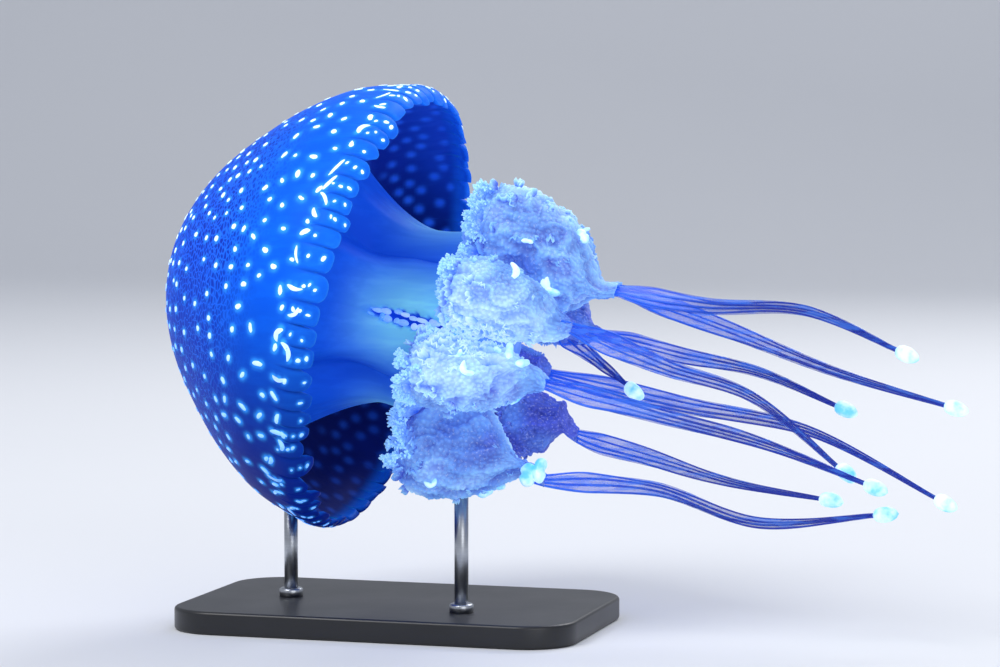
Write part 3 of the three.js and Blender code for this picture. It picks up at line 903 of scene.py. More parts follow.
def jelly_material(skin):
    """Wet, glowing jelly: dark cells between fine pale lines on the bell, streaks elsewhere."""
    g = Graph("jelly")
    bent = g.node(
        "ShaderNodeVectorMath",
        {"operation": "MULTIPLY_ADD"},
        {0: g.noise(70, 2, output="Color"), 1: (0.006, 0.006, 0.006), 2: g.place()},
    )
    long = g.node("ShaderNodeVectorMath", {"operation": "MULTIPLY"}, {0: bent, 1: (1.8, 1, 1)})
    sockets = {"Vector": long, "Scale": 345.0, "Randomness": 0.9}
    cell = g.node("ShaderNodeTexVoronoi", {"feature": "DISTANCE_TO_EDGE"}, sockets)
    strength = g.strength()
    cloud = g.noise(45, 2)
    pit = g.step(cell, 0.06, 0.26) * strength * (0.35 + cloud * 1.1)
    line = (1 - g.step(cell, 0.0, 0.12)) * strength
    shade = g.mix(g.tint(), skin.cell, pit)
    shade = g.mix(shade, skin.network, line * 0.45)
    shade = g.mix(shade, skin.shade_and_mottle, g.step(g.noise(24, 2), 0.5, 0.8) * 0.25)
    gap = (1 - g.step(g.noise(240, 3, stretch=(0.1, 1, 1)), 0.42, 0.7)) * (1 - strength)
    shade = g.mix(shade, rgb(120, 176, 225), gap * 0.28, "MULTIPLY")
    grain = g.noise(420, 2)
    height = grain * 0.12 + g.noise(90, 2) * 0.5 - gap * 0.3 - pit * 0.5
    return g.finish(
        shade,
        glow=0.3,
        Roughness=0.52 + grain * 0.12,
        Specular_IOR_Level=0.1,
        Specular_Tint=(0.25, 0.62, 1.0, 1.0),
        Subsurface_Weight=0.25,
        Subsurface_Radius=(0.2, 0.5, 1.0),
        Subsurface_Scale=0.006,
        Coat_Weight=0.02,
        Coat_Roughness=0.25,
        Normal=g.bump(height, 0.0003, 0.4),
    )


# ---------- spots ----------


def spot_layout(spots):
    """Every spot: share of the outline, angle, half length and breadth, turn, bend and taper."""
    random = np.random.default_rng(spots.seed)
    tries = 9000
    share = random.uniform(0.0, 0.87, tries)
    share = share[random.random(tries) < BELL.at(share)[:, 1] / BELL_RADIUS]
    angle = random.uniform(0, TURN, len(share))
    apart = blend(spots.apart, spots.apart * 1.3, smooth(share, 0.3, 0.7))
    apart = apart * random.uniform(0.5, 1.35, len(share))
    field = spread(around(*BELL.at(share).T, angle), apart)
    rows = []
    for s, a in zip(share[field], angle[field]):
        late = smooth(s, 0.60, 0.76)
        breadth = spots.radius * random.uniform(0.72, 1.12) * blend(1, 0.95, late)
        longer = blend(random.uniform(1, 1.15), random.uniform(1.1, 2.4), late)
        rows.append((s, a, breadth * longer, breadth, random.uniform(0, math.pi), 0.0, 0.0))
    for number in range(LAPPETS):
        rows.extend(lappet_spots(number, spots, random))
    return np.array(rows)


def lappet_spots(number, spots, random):
    """The streak at the foot of one lappet and the row of small spots along it."""
    middle = angle_after(number + 0.5)
    stray = TURN / LAPPETS * 0.14
    end = lappet_length(middle, 0)
    big = random.uniform(1.6, 4.5)
    turn = random.normal(0.3, 0.9)
    place = random.uniform(0.862, 0.905), middle + random.normal(0, stray)
    wide = spots.radius * random.uniform(0.6, 1.2) * (1.12 - 0.06 * big)
    shape = random.uniform(-0.38, 0.38) * big, random.uniform(-0.35, 0.35)
    rows = [(*place, spots.radius * big, wide, turn, *shape)]
    for short_of in (0.070, 0.048, 0.028):
        if random.random() < 0.8:
            size = spots.radius * random.uniform(0.42, 0.8)
            share = end - short_of + random.normal(0, 0.004)
            place = share, middle + random.normal(0, stray * 0.5)
            long, tilt = size * random.uniform(1, 2.1), random.normal(0.6, 0.8)
            rows.append((*place, long, size, tilt, 0, 0))
    return rows


def spot_frames(share, angle, skin):
    """Places on the bell's outer face, and there the ways round it, along it and outward."""
    step = 1e-3
    middle = bell_face(share, angle, skin)
    along = unit(bell_face(share + step, angle, skin) - middle)
    round_it = unit(bell_face(share, angle + step, skin) - middle)
    return middle, round_it, along, unit(np.cross(along, round_it))


def spot_outline(row, sides, random):
    """Places on one spot as lengths round the bell, along it and outward, ring by ring."""
    _, _, half_length, half_breadth, tilt, bend, taper = row
    turn = ring_of(sides)
    rings = np.array([(1.06, -0.35), (1.0, 0.02), (0.8, 0.55), (0.42, 0.9), (0.0, 1.0)])
    uneven = 1 + random.normal(0, 0.035, sides) + 0.09 * np.sin(2 * turn + random.uniform(0, 6))
    uneven = uneven + 0.09 * np.sin(3 * turn + random.uniform(0, 6))
    long = rings[:, :1] * np.cos(turn) * (0.9 + 0.1 * uneven)
    wide = rings[:, :1] * np.sin(turn) * uneven * half_breadth * (1 + taper * long)
    swing = bend + 1e-6
    x = np.sin(swing * long) / swing * half_length - np.sin(swing * long) * wide
    y = (1 - np.cos(swing * long)) / swing * half_length + np.cos(swing * long) * wide
    y = y - (1 - math.cos(swing)) / swing * half_length * 0.5
    z = rings[:, 1:] * half_breadth + 0 * x
    around_it = math.cos(tilt) * x - math.sin(tilt) * y
    return np.stack([around_it, math.sin(tilt) * x + math.cos(tilt) * y, z], -1)


def spots_mesh(layout, spots, skin):
    """Low domes with uneven outlines, each sunk a little in the skin."""
    random = np.random.default_rng(spots.seed + 1)
    batch = Batch()
    for row in layout:
        sides = 14 if row[2] < 2 * spots.radius else 26
        flat = spot_outline(row, sides, random)
        share = np.clip(row[0] + flat[..., 1] / BELL.length, 0.002, 0.99)
        angle = row[1] + flat[..., 0] / np.maximum(BELL.at(share)[..., 1], 0.004)
        middle, _, _, out = spot_frames(share, angle, skin)
        rings = middle + out * flat[..., 2:] * spots.height
        points, *faces = closed_form(rings[:-1], (rings[0].mean(0), rings[-1].mean(0)))
        bake = disc_map((0.5, 0.5), 0.48, share, angle)
        bake = np.vstack([bake[:-1].reshape(-1, 2), bake[0].mean(0), bake[-1].mean(0)])
        # painted shade: spots on the lower side are darker
        tint = between(spots.white, spots.shaded_underside_white, lower_side_shade(row[1]) * 0.9)
        batch.add(placed(points), *faces, tint, bake)
    return batch.mesh("bell_spots")


def halo_of(layout, skin):
    """Points along each spot that light up the skin round it, and their sizes."""
    middle, across, along, _ = spot_frames(layout[:, 0], layout[:, 1], skin)
    tilt = layout[:, 4:5]
    ahead = np.cos(tilt) * across + np.sin(tilt) * along
    reach = np.maximum(layout[:, 2:3] - layout[:, 3:4], 0)
    points = [middle + ahead * reach * side for side in (-1, 0, 1)]
    return np.concatenate(points), np.tile(layout[:, 3], 3) * 0.8


def spot_material():
    """Bright, faintly uneven white."""
    g = Graph("wart_white")
    shade = g.mix(g.tint(), rgb(120, 200, 255), g.noise(700, 2) * 0.35)
    return g.finish(shade, glow=0.75, Roughness=0.35, Coat_Weight=0.3)


# ---------- slots ----------


def slot_lobes():
    """Pale, soft lumps that lie along the slots of the four pillars, with dark gaps between."""
    random = np.random.default_rng(SEEDS["lobes"])
    batch = Batch()
    for pillar, side in [(number // 2, number % 2 * 2 - 1) for number in range(8)]:
        share = random.uniform(0.02, 0.08)
        while share < 0.97:
            long = random.uniform(0.0011, 0.0028)
            depth = blend(SLOT["from"], SLOT["to"], share)
            size = random.uniform(0.0010, 0.0015), random.uniform(0.0010, 0.0017)
            radius = 0.0352 + 0.03 * abs(depth - 0.108) + random.uniform(0, 0.0012)
            aside = random.uniform(0.0009, 0.0022) + 0.0004 * share
            angle = TWIST + pillar * QUARTER + side * aside / 0.037
            points, *faces = ball((long, *size), random)
            paleness = np.clip(share * 0.8 + random.uniform(-0.15, 0.3), 0, 1)
            tint = between(rgb(84, 160, 250), rgb(214, 236, 252), paleness)
            batch.add(placed(placed_at(points, depth, radius, angle)), *faces, tint)
            share += long / (SLOT["to"] - SLOT["from"]) * random.uniform(1.5, 2.6)
    return batch.mesh("slot_lobes")


def placed_at(points, depth, radius, angle):
    """Points given as lengths along the axis, outward and aside, moved to a place round it."""
    ways = np.array([(1, 0, 0), around(0, 1, angle), around(0, 1, angle + QUARTER)])
    return around(depth, radius, angle) + points @ ways


def ball(sizes, random, rows=9, sides=14):
    """A lumpy closed ball with its own half size along each direction."""
    fall = np.linspace(0, math.pi, rows + 2)[1:-1, None]
    turn = ring_of(sides)
    lean = random.uniform(0, 6, 3)
    lump = 1 + 0.12 * np.sin(3 * turn + lean[0]) * np.sin(fall * 2 + lean[1])
    lump = lump + 0.10 * np.cos(2 * fall + 2 * turn + lean[2])
    return closed_form(around(np.cos(fall), lump * np.sin(fall), turn) * sizes)


# ---------- frills ----------


def arm_angle(index):
    """Angle of an arm round the axis."""
    return ARM_SPAN * (index + 0.5) + TWIST


def frill_core(index, share, turn):
    """Smooth surface under an arm's frills, in the animal's own frame."""
    start, end, reach, tip, _, _ = ARMS[index]
    taper = smooth(share, FRILL_TAPER[index], 1)
    outer = blend(reach * of_list(FRILL_REACH, share), tip, taper)
    rise = taper
    if index == SLANTED_ARM:
        even = np.clip((share - SLANTED_FROM) / (1 - SLANTED_FROM), 0, 1)
        rise = (even + smooth(share, SLANTED_FROM, 1)) / 2
    inner = blend(of_list(FRILL_INNER, share), tip, rise)
    cap = np.maximum(dome(share / 0.12), 0.02)
    radial = np.maximum((outer - inner) / 2, FRILL_TIP) * cap
    width = of_list(FRILL_WIDTH, share) * cap
    out = (outer + inner) / 2 + radial * np.cos(turn)
    side = width * np.sin(turn)
    limit = np.maximum(out, 0.004) * math.tan(ARM_SPAN / 2)
    side = side / (1 + np.abs(side / limit) ** 5) ** 0.2
    angle = arm_angle(index)
    up = out * math.cos(angle) - side * math.sin(angle)
    back = out * math.sin(angle) + side * math.cos(angle)
    depth = blend(start - 0.003, end, share)
    return np.stack(np.broadcast_arrays(depth, up, back), -1)


def core_normal(index, share, turn):
    """Outward direction of the smooth surface."""
    step = 1e-3
    share = np.clip(share, 0.004, 0.996)
    along = frill_core(index, share + step, turn) - frill_core(index, share - step, turn)
    across = frill_core(index, share, turn + step) - frill_core(index, share, turn - step)
    return unit(np.cross(across, along))


def waves(points, size, random):
    """Rolling noise from about -1 to 1 that repeats roughly over a size."""
    total = 0
    for _ in range(9):
        direction = unit(random.normal(0, 1, 3)) * random.uniform(0.7, 1.4)
        total = total + np.sin(points @ direction * (TURN / size) + random.uniform(0, 6.3))
    return total / 3


def bumps_at(points, middles, radius):
    """Height, from 0 to 1, of round bumps with given middles."""
    return np.sqrt(np.clip(1 - (nearest(middles, points)[1] / radius) ** 2, 0, 1))


def scatter(index, apart, count, random):
    """Places spread over an arm's frills, in the animal's own frame."""
    share = random.uniform(0, 1, count) ** 1.15
    points = frill_core(index, share, random.uniform(0, TURN, count))
    return points[spread(points, apart * random.uniform(0.75, 1.3, count))]


def brightness(index, points):
    """How pale an arm's frills are: palest beside the slots, a little way from their inner edge,
    and darker on their lower part by painted shade.
    """
    depth, up, back = np.moveaxis(points, -1, 0)
    start, end = ARMS[index][:2]
    along = (depth - start) / (end - start)
    lit = np.exp(-((beside_pillar(np.arctan2(back, up)) / 0.5) ** 2))
    lit = lit * (1 - 0.45 * smooth(along, 0.35, 1))
    inwards = 0.5 + 0.5 * smooth(along, -0.05, 0.22)
    # painted shade on the lower part of the frills
    shade_below = 1 - 0.28 * smooth(-up, 0.026, 0.048)
    return np.clip(FRILL_TONE_AND_SHADE[index] * (0.35 + 0.75 * lit) * inwards * shade_below, 0, 1)


def frill_tint(pale, rise, frills):
    """Colour of frills of a given paleness, from their folds, where rise is 0 and painted shade
    lies, to their edges, which are painted lighter.
    """
    low = between(frills.fold_shade, frills.shade, pale * 1.6)
    low = between(low, frills.flesh, smooth(pale, 0.45, 0.9) * 0.6)
    high = between(frills.shade, frills.flesh, pale * 3)
    return between(low, between(high, frills.pale, smooth(pale, 0.2, 0.95)), rise)


def frill_skin(index, frills):
    """Folded, finely grained skin of one arm's frills."""
    random = np.random.default_rng(frills.seed + index)
    rows, sides = 132, 240
    share = np.linspace(0, 1, rows)[:, None] ** 1.35
    share, turn = np.broadcast_arrays(share, ring_of(sides))
    base = frill_core(index, share, turn)
    drift = base + waves(base, 0.016, random)[..., None] * 0.003
    drift[..., 0] *= 0.45
    fold = np.clip(1 - np.abs(waves(drift, frills.fold_size, random)) * 1.3, -0.6, 1)
    lump = bumps_at(base, scatter(index, frills.lump_apart, 1400, random), frills.lump_apart * 0.8)
    grain_at = scatter(index, frills.grain * 1.9, 9000, random)
    grain = bumps_at(base, grain_at, frills.grain * 1.15)
    calm = smooth(1 - share, 0.0, 0.36)
    height = frills.fold * (fold - 1) * 0.5 + frills.lump * (lump - 1) * calm
    height = height * (0.35 + 0.65 * calm) + frills.grain * 0.8 * grain - 0.0014
    points, *faces = closed_form(base + core_normal(index, share, turn) * height[..., None])

    pale = np.clip(brightness(index, base) + 0.12 * waves(base, 0.02, random), 0, 1)
    # painted shading: dark in the folds, light on the ridges, lumps and beads
    fold_shading = np.clip(0.42 * (fold + 0.6) / 1.6 + 0.26 * lump + 0.24 * grain, 0, 1)
    tint = with_ends(frill_tint(pale, fold_shading, frills))
    flat = np.stack([turn / TURN, share], -1).reshape(-1, 2)
    bake = np.vstack([flat, flat[0], flat[-1]])
    return build_mesh(f"frill_skin_{index + 1}", placed(points), *faces, tint, bake)


def fingers(roots, ways, bends, lengths, radii, sides=6):
    """Many small rounded fingers: each a tapered tube that bends as it goes."""
    steps, widths = np.array([(0, 1.2), (0.45, 0.7), (0.72, 0.95), (0.9, 1.2), (0.985, 0.75)]).T
    turn = ring_of(sides)[:, None]
    aside = unit(np.cross(ways, bends))
    lift = np.cross(aside, ways)
    far = (lengths[:, None] * steps)[..., None]
    middle = roots[:, None] + ways[:, None] * far + lift[:, None] * far * steps[:, None] * 0.35
    ring = aside[:, None] * np.cos(turn) + lift[:, None] * np.sin(turn)
    body = middle[:, :, None] + ring[:, None] * (radii[:, None] * widths)[..., None, None]
    tip = middle[:, -1:] + (ways * radii[:, None] * 0.45)[:, None]
    count = len(roots)
    points = np.concatenate([body.reshape(count, -1, 3), roots[:, None], tip], axis=1)
    offset = np.arange(count)[:, None, None] * points.shape[1]
    quads, caps = (faces + offset for faces in closed_faces(len(steps), sides))
    return points, quads, caps, np.append(np.repeat(steps, sides), [0, 1])


def fan_frame(index, turn, spread_out, random):
    """Root of a fan on the edge of the frills, the way it points, its width and its face."""
    share = random.uniform(0.05, 0.11)
    at = frill_core(index, share, turn)
    out = core_normal(index, share, turn)
    lead = unit(np.array([-1.0, 0, 0]) + out * random.uniform(0.3, 1.0) * spread_out)
    wide = unit(np.cross(out, lead) + random.normal(0, 0.2, 3))
    return at - lead * 0.0046 - out * 0.0012, lead, wide, unit(np.cross(lead, wide))


def fan_points(frame, spoke, reach, ruffle, lean):
    """Points of a fan, by angle across it and reach, bent by ruffles and a lean of its face."""
    at, lead, wide, face = frame
    ahead = lead * np.cos(spoke)[..., None] + wide * np.sin(spoke)[..., None]
    off = ruffle * reach / 0.007 + lean * (reach / 0.008) ** 2
    return at + ahead * reach[..., None] + face * off[..., None], ahead


def fringe_mesh(index, frills):
    """Ruffled fans with forked fingers, along the edge of an arm's frills that faces the bell."""
    random = np.random.default_rng(frills.seed + 60 + index)
    t, h, faces, patch = leaf_patch(20, 5)
    batch = Batch()
    turns = np.linspace(-2.2, 2.2, frills.fans) + random.uniform(-0.2, 0.2, frills.fans)
    for turn in np.repeat(turns, 2):
        turn += random.normal(0, 0.12)
        beside_slot = smooth(math.sin(turn) * (1 if index % 2 else -1), 0.1, 0.8)
        frame = fan_frame(index, turn, 1 - beside_slot, random)
        face = frame[3]
        rounds = random.uniform(3.5, 5.5)
        phase, lean = random.uniform(0, 6), random.normal(0.0008, 0.0018)
        length = frills.finger_length * random.uniform(0.8, 1.15) * (1 - 0.5 * beside_slot)
        tone = random.uniform(0.8, 1.15)

        def ruffle(spoke):
            return 0.0011 * np.sin(spoke * rounds + phase)

        spoke = t * 1.35
        reach = length * 0.62 * h * (1 + 0.07 * np.sin(t * 17 + phase))
        sheet, _ = fan_points(frame, spoke, reach, ruffle(spoke), lean)
        points = np.concatenate([sheet + face * FILM, sheet - face * FILM])
        # painted shade at the roots of a fan, where the dark web colour lies, paler beads at its
        # tips
        rise = np.tile(h, 2) ** 1.5 * 0.8
        spot = np.array([turn / TURN % 1, random.uniform(0.02, 0.12)]) * 0.99 + 0.004
        bright = np.clip(tone * (0.45 + 0.6 * FRILL_TONE_AND_SHADE[index]), 0, 1)
        bead = between(frills.web, frills.bead, bright)
        tint = between(frills.web, bead, rise)
        batch.add(placed(points), faces, tint=tint, bake=np.clip(spot + patch, 0, 1))

        count = frills.fingers
        spoke = np.linspace(-1.4, 1.4, count) + random.normal(0, 0.03, count)
        roots, ways = fan_points(frame, spoke, length * 0.5 + 0 * spoke, ruffle(spoke), lean)
        ways = unit(ways + face * (random.normal(0, 0.3, count) + lean * 160)[:, None])
        long = length * random.uniform(0.32, 0.52, count)
        radii = frills.finger_radius * random.uniform(0.8, 1.2, count)
        bends = unit(random.normal(0, 1, (count, 3)))
        parts = [(roots, ways, bends, long, radii)]
        for side in (-1, 1):
            at = roots + ways * (long * random.uniform(0.45, 0.7, count))[:, None]
            aside = unit(np.cross(ways, face)) * side + random.normal(0, 0.5, (count, 3))
            parts.append((at, unit(ways + aside * 0.8), bends, long * 0.4, radii * 0.9))
        for number, part in enumerate(parts):
            points, quads, caps, along = fingers(*part)
            # painted shade at the roots of the fingers, paler towards their tips
            tint = between(frills.web, bead, along * 0.6 + (0.4 if number else 0.3))
            bake = spot + np.stack([along - 0.5, along * 0 + 0.5], -1) * PATCH
            tint, bake = np.tile(tint, (count, 1)), np.tile(np.clip(bake, 0, 1), (count, 1))
            batch.add(placed(points), quads, caps, tint, bake)
    return batch.mesh(f"frill_fringe_{index + 1}")


def bodies_mesh(trees, frills, stage):
    """Small bright bodies that lie on the frills."""
    random = np.random.default_rng(frills.seed + 5)
    batch = Batch()
    eye, right, above, back = view_frame(stage)
    per_pixel = stage.across / VIEW_SIZE[0]
    for (x, y), long, wide, tilt, bend in BODIES:
        way = right * (x - VIEW_SIZE[0] / 2) - above * (y - VIEW_SIZE[1] / 2)
        way = way * per_pixel - back * stage.distance
        hits = [tree.ray_cast(Vector(eye), Vector(way).normalized()) for tree in trees]
        hits = [hit for hit in hits if hit[0] is not None]
        if not hits:  # just beside the frills: the flesh nearest to the line of sight carries it
            reach = np.dot(FRILLS_MIDDLE - eye, unit(way)) + np.linspace(-0.06, 0.06, 25)
            beside = eye + reach[:, None] * unit(way)
            hits = [tree.find_nearest(Vector(place)) for tree in trees for place in beside]
        spot, normal, _, _ = min(hits, key=lambda hit: hit[3])
        facing = np.array(normal) if np.dot(normal, back) > 0 else -np.array(normal)
        facing = unit(facing + back)
        ahead = right * math.cos(tilt) + above * math.sin(tilt)
        add_body(np.array(spot), ahead, facing, long, wide, bend, batch)
    for tree in trees:
        for _ in range(2):
            way = unit(random.normal(0, (0.4, 1, 1)))
            spot, normal, _, _ = tree.find_nearest(Vector(FRILLS_MIDDLE + way * 0.09))
            ahead = unit(np.cross(normal, random.normal(0, 1, 3)))
            sizes = random.uniform(0.0035, 0.006), random.uniform(0.0009, 0.0013)
            add_body(np.array(spot), ahead, np.array(normal), *sizes, random.normal(0, 0.5), batch)
    return batch.mesh("frill_bodies")


def add_body(spot, ahead, facing, long, wide, bend, batch):
    """Adds one bent, rounded body that lies on a surface."""
    share = np.sin(np.linspace(-QUARTER, QUARTER, 17))
    aside = unit(np.cross(facing, ahead))
    ahead = np.cross(aside, facing)
    half = long / 2
    path = ahead * (share * half)[:, None] + aside * (bend * half * (share**2 - 0.5))[:, None]
    path = spot + path + facing * wide * 0.8
    radius = wide * np.sqrt(np.clip(1 - np.abs(share) ** 3, 0.003, 1))
    radius = radius * (1 + 0.12 * np.cos(share * 5 + bend * 9))
    batch.add(*tube(path, radius, radius * 0.9, sides=16))


def leaf_patch(across=6, up=2):
    """Grid places on a leaf, from -1 to 1 across and 0 to 1 up, then the faces of a closed leaf
    of two sides and its places on the bake map."""
    t, h = np.meshgrid(np.linspace(-1, 1, across + 1), np.linspace(0, 1, up + 1))
    per_side = t.size
    front = grid_faces(up + 1, across + 1, closed=False)
    back = front[:, ::-1] + per_side
    loop = [*range(across), *range(across, per_side - 1, across + 1)]
    loop += [*range(per_side - 1, per_side - 1 - across, -1)]
    loop += [*range(per_side - 1 - across, 0, -(across + 1))]
    ring = np.array(loop)
    after = np.roll(ring, -1)
    rim = np.stack([after, ring, ring + per_side, after + per_side], -1)
    t, h = t.ravel(), h.ravel()
    patch = np.tile(np.stack([t / 2, h - 0.5], -1) * PATCH, (2, 1))
    return t, h, np.concatenate([front, back, rim]), patch


def leaves_mesh(index, frills):
    """Small ruffled leaves that stand on the frills of one arm."""
    random = np.random.default_rng(frills.seed + 40 + index)
    count = frills.leaves
    share = random.uniform(0.02, 0.9, count) ** 1.7
    turn = random.uniform(-2.6, 2.6, count)
    beside_slot = random.random(count) < 0.45
    slot_side = 1 if index % 2 else -1
    turn = np.where(beside_slot, slot_side * random.uniform(0.9, 2.3, count), turn)
    share = np.where(beside_slot, random.uniform(0.04, 0.6, count), share)
    base = frill_core(index, share, turn)
    normal = core_normal(index, share, turn)
    root = base - normal * 0.0026
    out = unit(normal + random.normal(0, 0.3, (count, 3)) + np.array([-0.25, 0, 0]))
    across = unit(np.cross(out, unit(random.normal(0, 1, (count, 3)))))
    fold = np.cross(out, across)

    t, h, faces, patch = leaf_patch()
    size = random.uniform(0.6, 1.35, count)[:, None]
    slim = (0.4 + 0.6 * smooth(1 - share, 0.2, 0.8))[:, None]
    width = frills.leaf_width * size * slim
    tall = frills.leaf_height * random.uniform(0.75, 1.2, count)[:, None] * slim
    finger = 1 + 0.16 * h * np.cos(t * 3 * math.pi)
    x = width / 2 * t * (0.6 + 0.4 * np.sqrt(h))
    z = tall * h * (1 - 0.3 * t**2) * finger
    phase = random.uniform(0, TURN, count)[:, None]
    ruffle = 0.0008 * np.sin(2.3 * math.pi * t + phase) * (0.3 + h)
    y = ruffle + random.normal(0, 0.0012, count)[:, None] * (h**2 + 0.6 * t**2)
    half_thick = 0.00034 * (1 - 0.3 * h)
    flat = root[:, None] + across[:, None] * x[..., None] + out[:, None] * z[..., None]
    sides = [flat + fold[:, None] * (y + half)[..., None] for half in (half_thick, -half_thick)]
    points = np.concatenate(sides, axis=1)

    pale = np.broadcast_to(brightness(index, base)[:, None], points.shape[:2])
    # painted shade at the roots of the leaves, lighter towards their tips
    tint = frill_tint(pale, np.tile(h, 2) ** 1.5, frills).reshape(-1, 3)
    spot = np.stack([turn / TURN % 1, share], -1) * 0.99 + 0.005
    bake = (spot[:, None] + patch).reshape(-1, 2)
    offsets = np.arange(count)[:, None, None] * points.shape[1]
    quads = (faces + offsets).reshape(-1, 4)
    points = placed(points).reshape(-1, 3)
    return build_mesh(f"frill_leaves_{index + 1}", points, quads, tint=tint, bake=bake)


def frill_material():
    """Soft, finely grained flesh."""
    g = Graph("frill")
    grain = g.noise(1100, 2)
    shade = g.mix(g.tint(), rgb(236, 244, 255), g.step(grain, 0.55, 0.8) * 0.3)
    return g.finish(
        g.mix(shade, (0, 0, 0), 0.28),
        glow=0.5,
        Emission_Color=shade,
        Roughness=0.55,
        Subsurface_Weight=0.5,
        Subsurface_Radius=(0.4, 0.6, 1.0),
        Subsurface_Scale=0.004,
        Normal=g.bump(grain, 0.0002, 0.5),
    )


# ---------- tails and clubs ----------


def tail_line(index):
    """Middle line of a tail, from inside the tip of the frills to its club."""
    _, end, _, tip, club, bow = ARMS[index]
    root = around(end, tip, arm_angle(index))
    inside = frill_core(index, 0.9, np.array([0, math.pi])).mean(0)
    sway = TAIL_SWAY * (1 if index % 2 == 0 else -1)
    first = between(root, club, 1 / 3) + (0, bow[0], sway)
    second = between(root, club, 2 / 3) + (0, bow[1], -sway / 2)
    return Line([inside, root, first, second, club])


def short_line():
    """Middle line of the short tail."""
    root, club = SHORT_TAIL["root"], SHORT_TAIL["club"]
    return Line([root, between(root, club, 0.5), club])


def side_frame(heading):
    """Two directions across a line, one of them as near up as can be."""
    up = unit(np.cross(np.cross(heading, (0, 1.0, 0)), heading))
    return up, np.cross(heading, up)


def tube(middle, wide, thin, sides=8, across=None):
    """A closed tube of flattened section, with its own half sizes at each point."""
    up, aside = across or side_frame(unit(np.gradient(middle, axis=0)))
    turn = ring_of(sides)[:, None]
    ring = up[:, None] * np.cos(turn) * np.reshape(wide, (-1, 1, 1))
    ring = ring + aside[:, None] * np.sin(turn) * np.reshape(thin, (-1, 1, 1))
    return closed_form(middle[:, None] + ring, (middle[0], middle[-1]))


def add_tail(line, number, tails, strands, webs, steps=84):
    """Adds the strands of one tail, which spread and gather again, and the web that joins them."""
    random = np.random.default_rng(SEEDS["tails"] + number)
    share = np.linspace(0, 1, steps)
    middle = line.at(share)
    up, aside = side_frame(line.heading(share))
    gather = ((1 - share**0.7) * blend(0.3, 1.25, smooth(share, 0.02, 0.2)))[:, None]
    twist = 0.5 * np.sin(share * 2.4 + number)[:, None]
    face = up * np.cos(twist) + aside * np.sin(twist)
    edge = np.cross(line.heading(share), face)
    for place in np.linspace(-1, 1, tails.strands):
        wave = 1 + 0.16 * np.sin(share * random.uniform(9, 15) + random.uniform(0, 6))[:, None]
        drift = 0.25 * np.sin(share * random.uniform(6, 11) + random.uniform(0, 6))[:, None]
        apart = tails.spread * gather + 0.0006
        path = middle + apart * (face * place * wave + edge * (drift + 0.2 * place))
        thick = tails.thick * blend(1, 0.8, share) * random.uniform(0.8, 1.15)
        sides = 8
        points, *faces = tube(path, thick, thick * 0.7, sides)
        tint = between(tails.root, tails.end, smooth(share, 0, 0.6))[:, None]
        strands.add(placed(points), *faces, with_ends(np.repeat(tint, sides, axis=1)))
    wide = tails.spread * gather[:, 0] * 1.1 + 0.0011
    wide = wide * np.maximum(dome(share / 0.03), math.sqrt(0.05))
    sides = 12
    points, *faces = tube(middle, wide, FILM, sides, (face, edge))
    tint = between(tails.web, tails.end, smooth(share, 0, 0.8))[:, None]
    webs.add(placed(points), *faces, with_ends(np.repeat(tint, sides, axis=1)))


def club_piece(line, batch, size=0.0030, length=0.0105, seed=0):
    """Adds a plump club with three soft ribs, which carries on the way its tail runs."""
    random = np.random.default_rng(SEEDS["clubs"] + seed)
    rows, sides = 17, 24
    share = np.linspace(0, 1, rows)
    ahead = line.heading(1.0)
    up, aside = side_frame(ahead)
    swell = np.sqrt(np.clip(1 - np.abs(2 * share**0.8 - 1) ** 2.6, 0, 1))
    swell = np.maximum(swell, np.where(share < 0.5, 0.3, 0.12))
    turn = ring_of(sides)
    rib = 1 + 0.2 * np.cos(3 * turn + random.uniform(0, 2)) * np.sin(math.pi * share)[:, None]
    radius = (size * swell[:, None] * rib)[..., None]
    along = line.at(1.0) + ahead * (share * length)[:, None]
    ring = up * np.cos(turn)[:, None] + aside * np.sin(turn)[:, None]
    ends = along[0] - ahead * 0.0003, along[-1] + ahead * 0.0002
    points, *faces = closed_form(along[:, None] + radius * ring, ends)
    batch.add(placed(points), *faces)


def strand_material():
    """Clear, dark blue strands."""
    g = Graph("strand")
    streak = g.noise(160, 3, stretch=(0.25, 3, 3))
    shade = g.mix(g.tint(), rgb(72, 150, 255), g.step(streak, 0.5, 0.8) * 0.35)
    return g.finish(shade, glow=0.2, Roughness=0.3, Specular_IOR_Level=0.4, Alpha=0.78)


def web_material():
    """Thin, clear web, with fine lines along it."""
    g = Graph("web")
    line = g.step(g.noise(520, 2, stretch=(0.06, 1, 1)), 0.42, 0.62)
    shade = g.mix(g.tint(), rgb(72, 142, 255), line * 0.5)
    return g.finish(shade, glow=0.15, Roughness=0.25, Alpha=0.34 + line * 0.25)


def club_material(tails):
    """Bright, nearly white flesh."""
    g = Graph("club")
    shade = g.mix(tails.club, tails.club_tip, g.step(g.noise(140, 3), 0.3, 0.65))
    return g.finish(shade, glow=0.5, Roughness=0.4, Coat_Weight=0.15)


# ---------- stand ----------


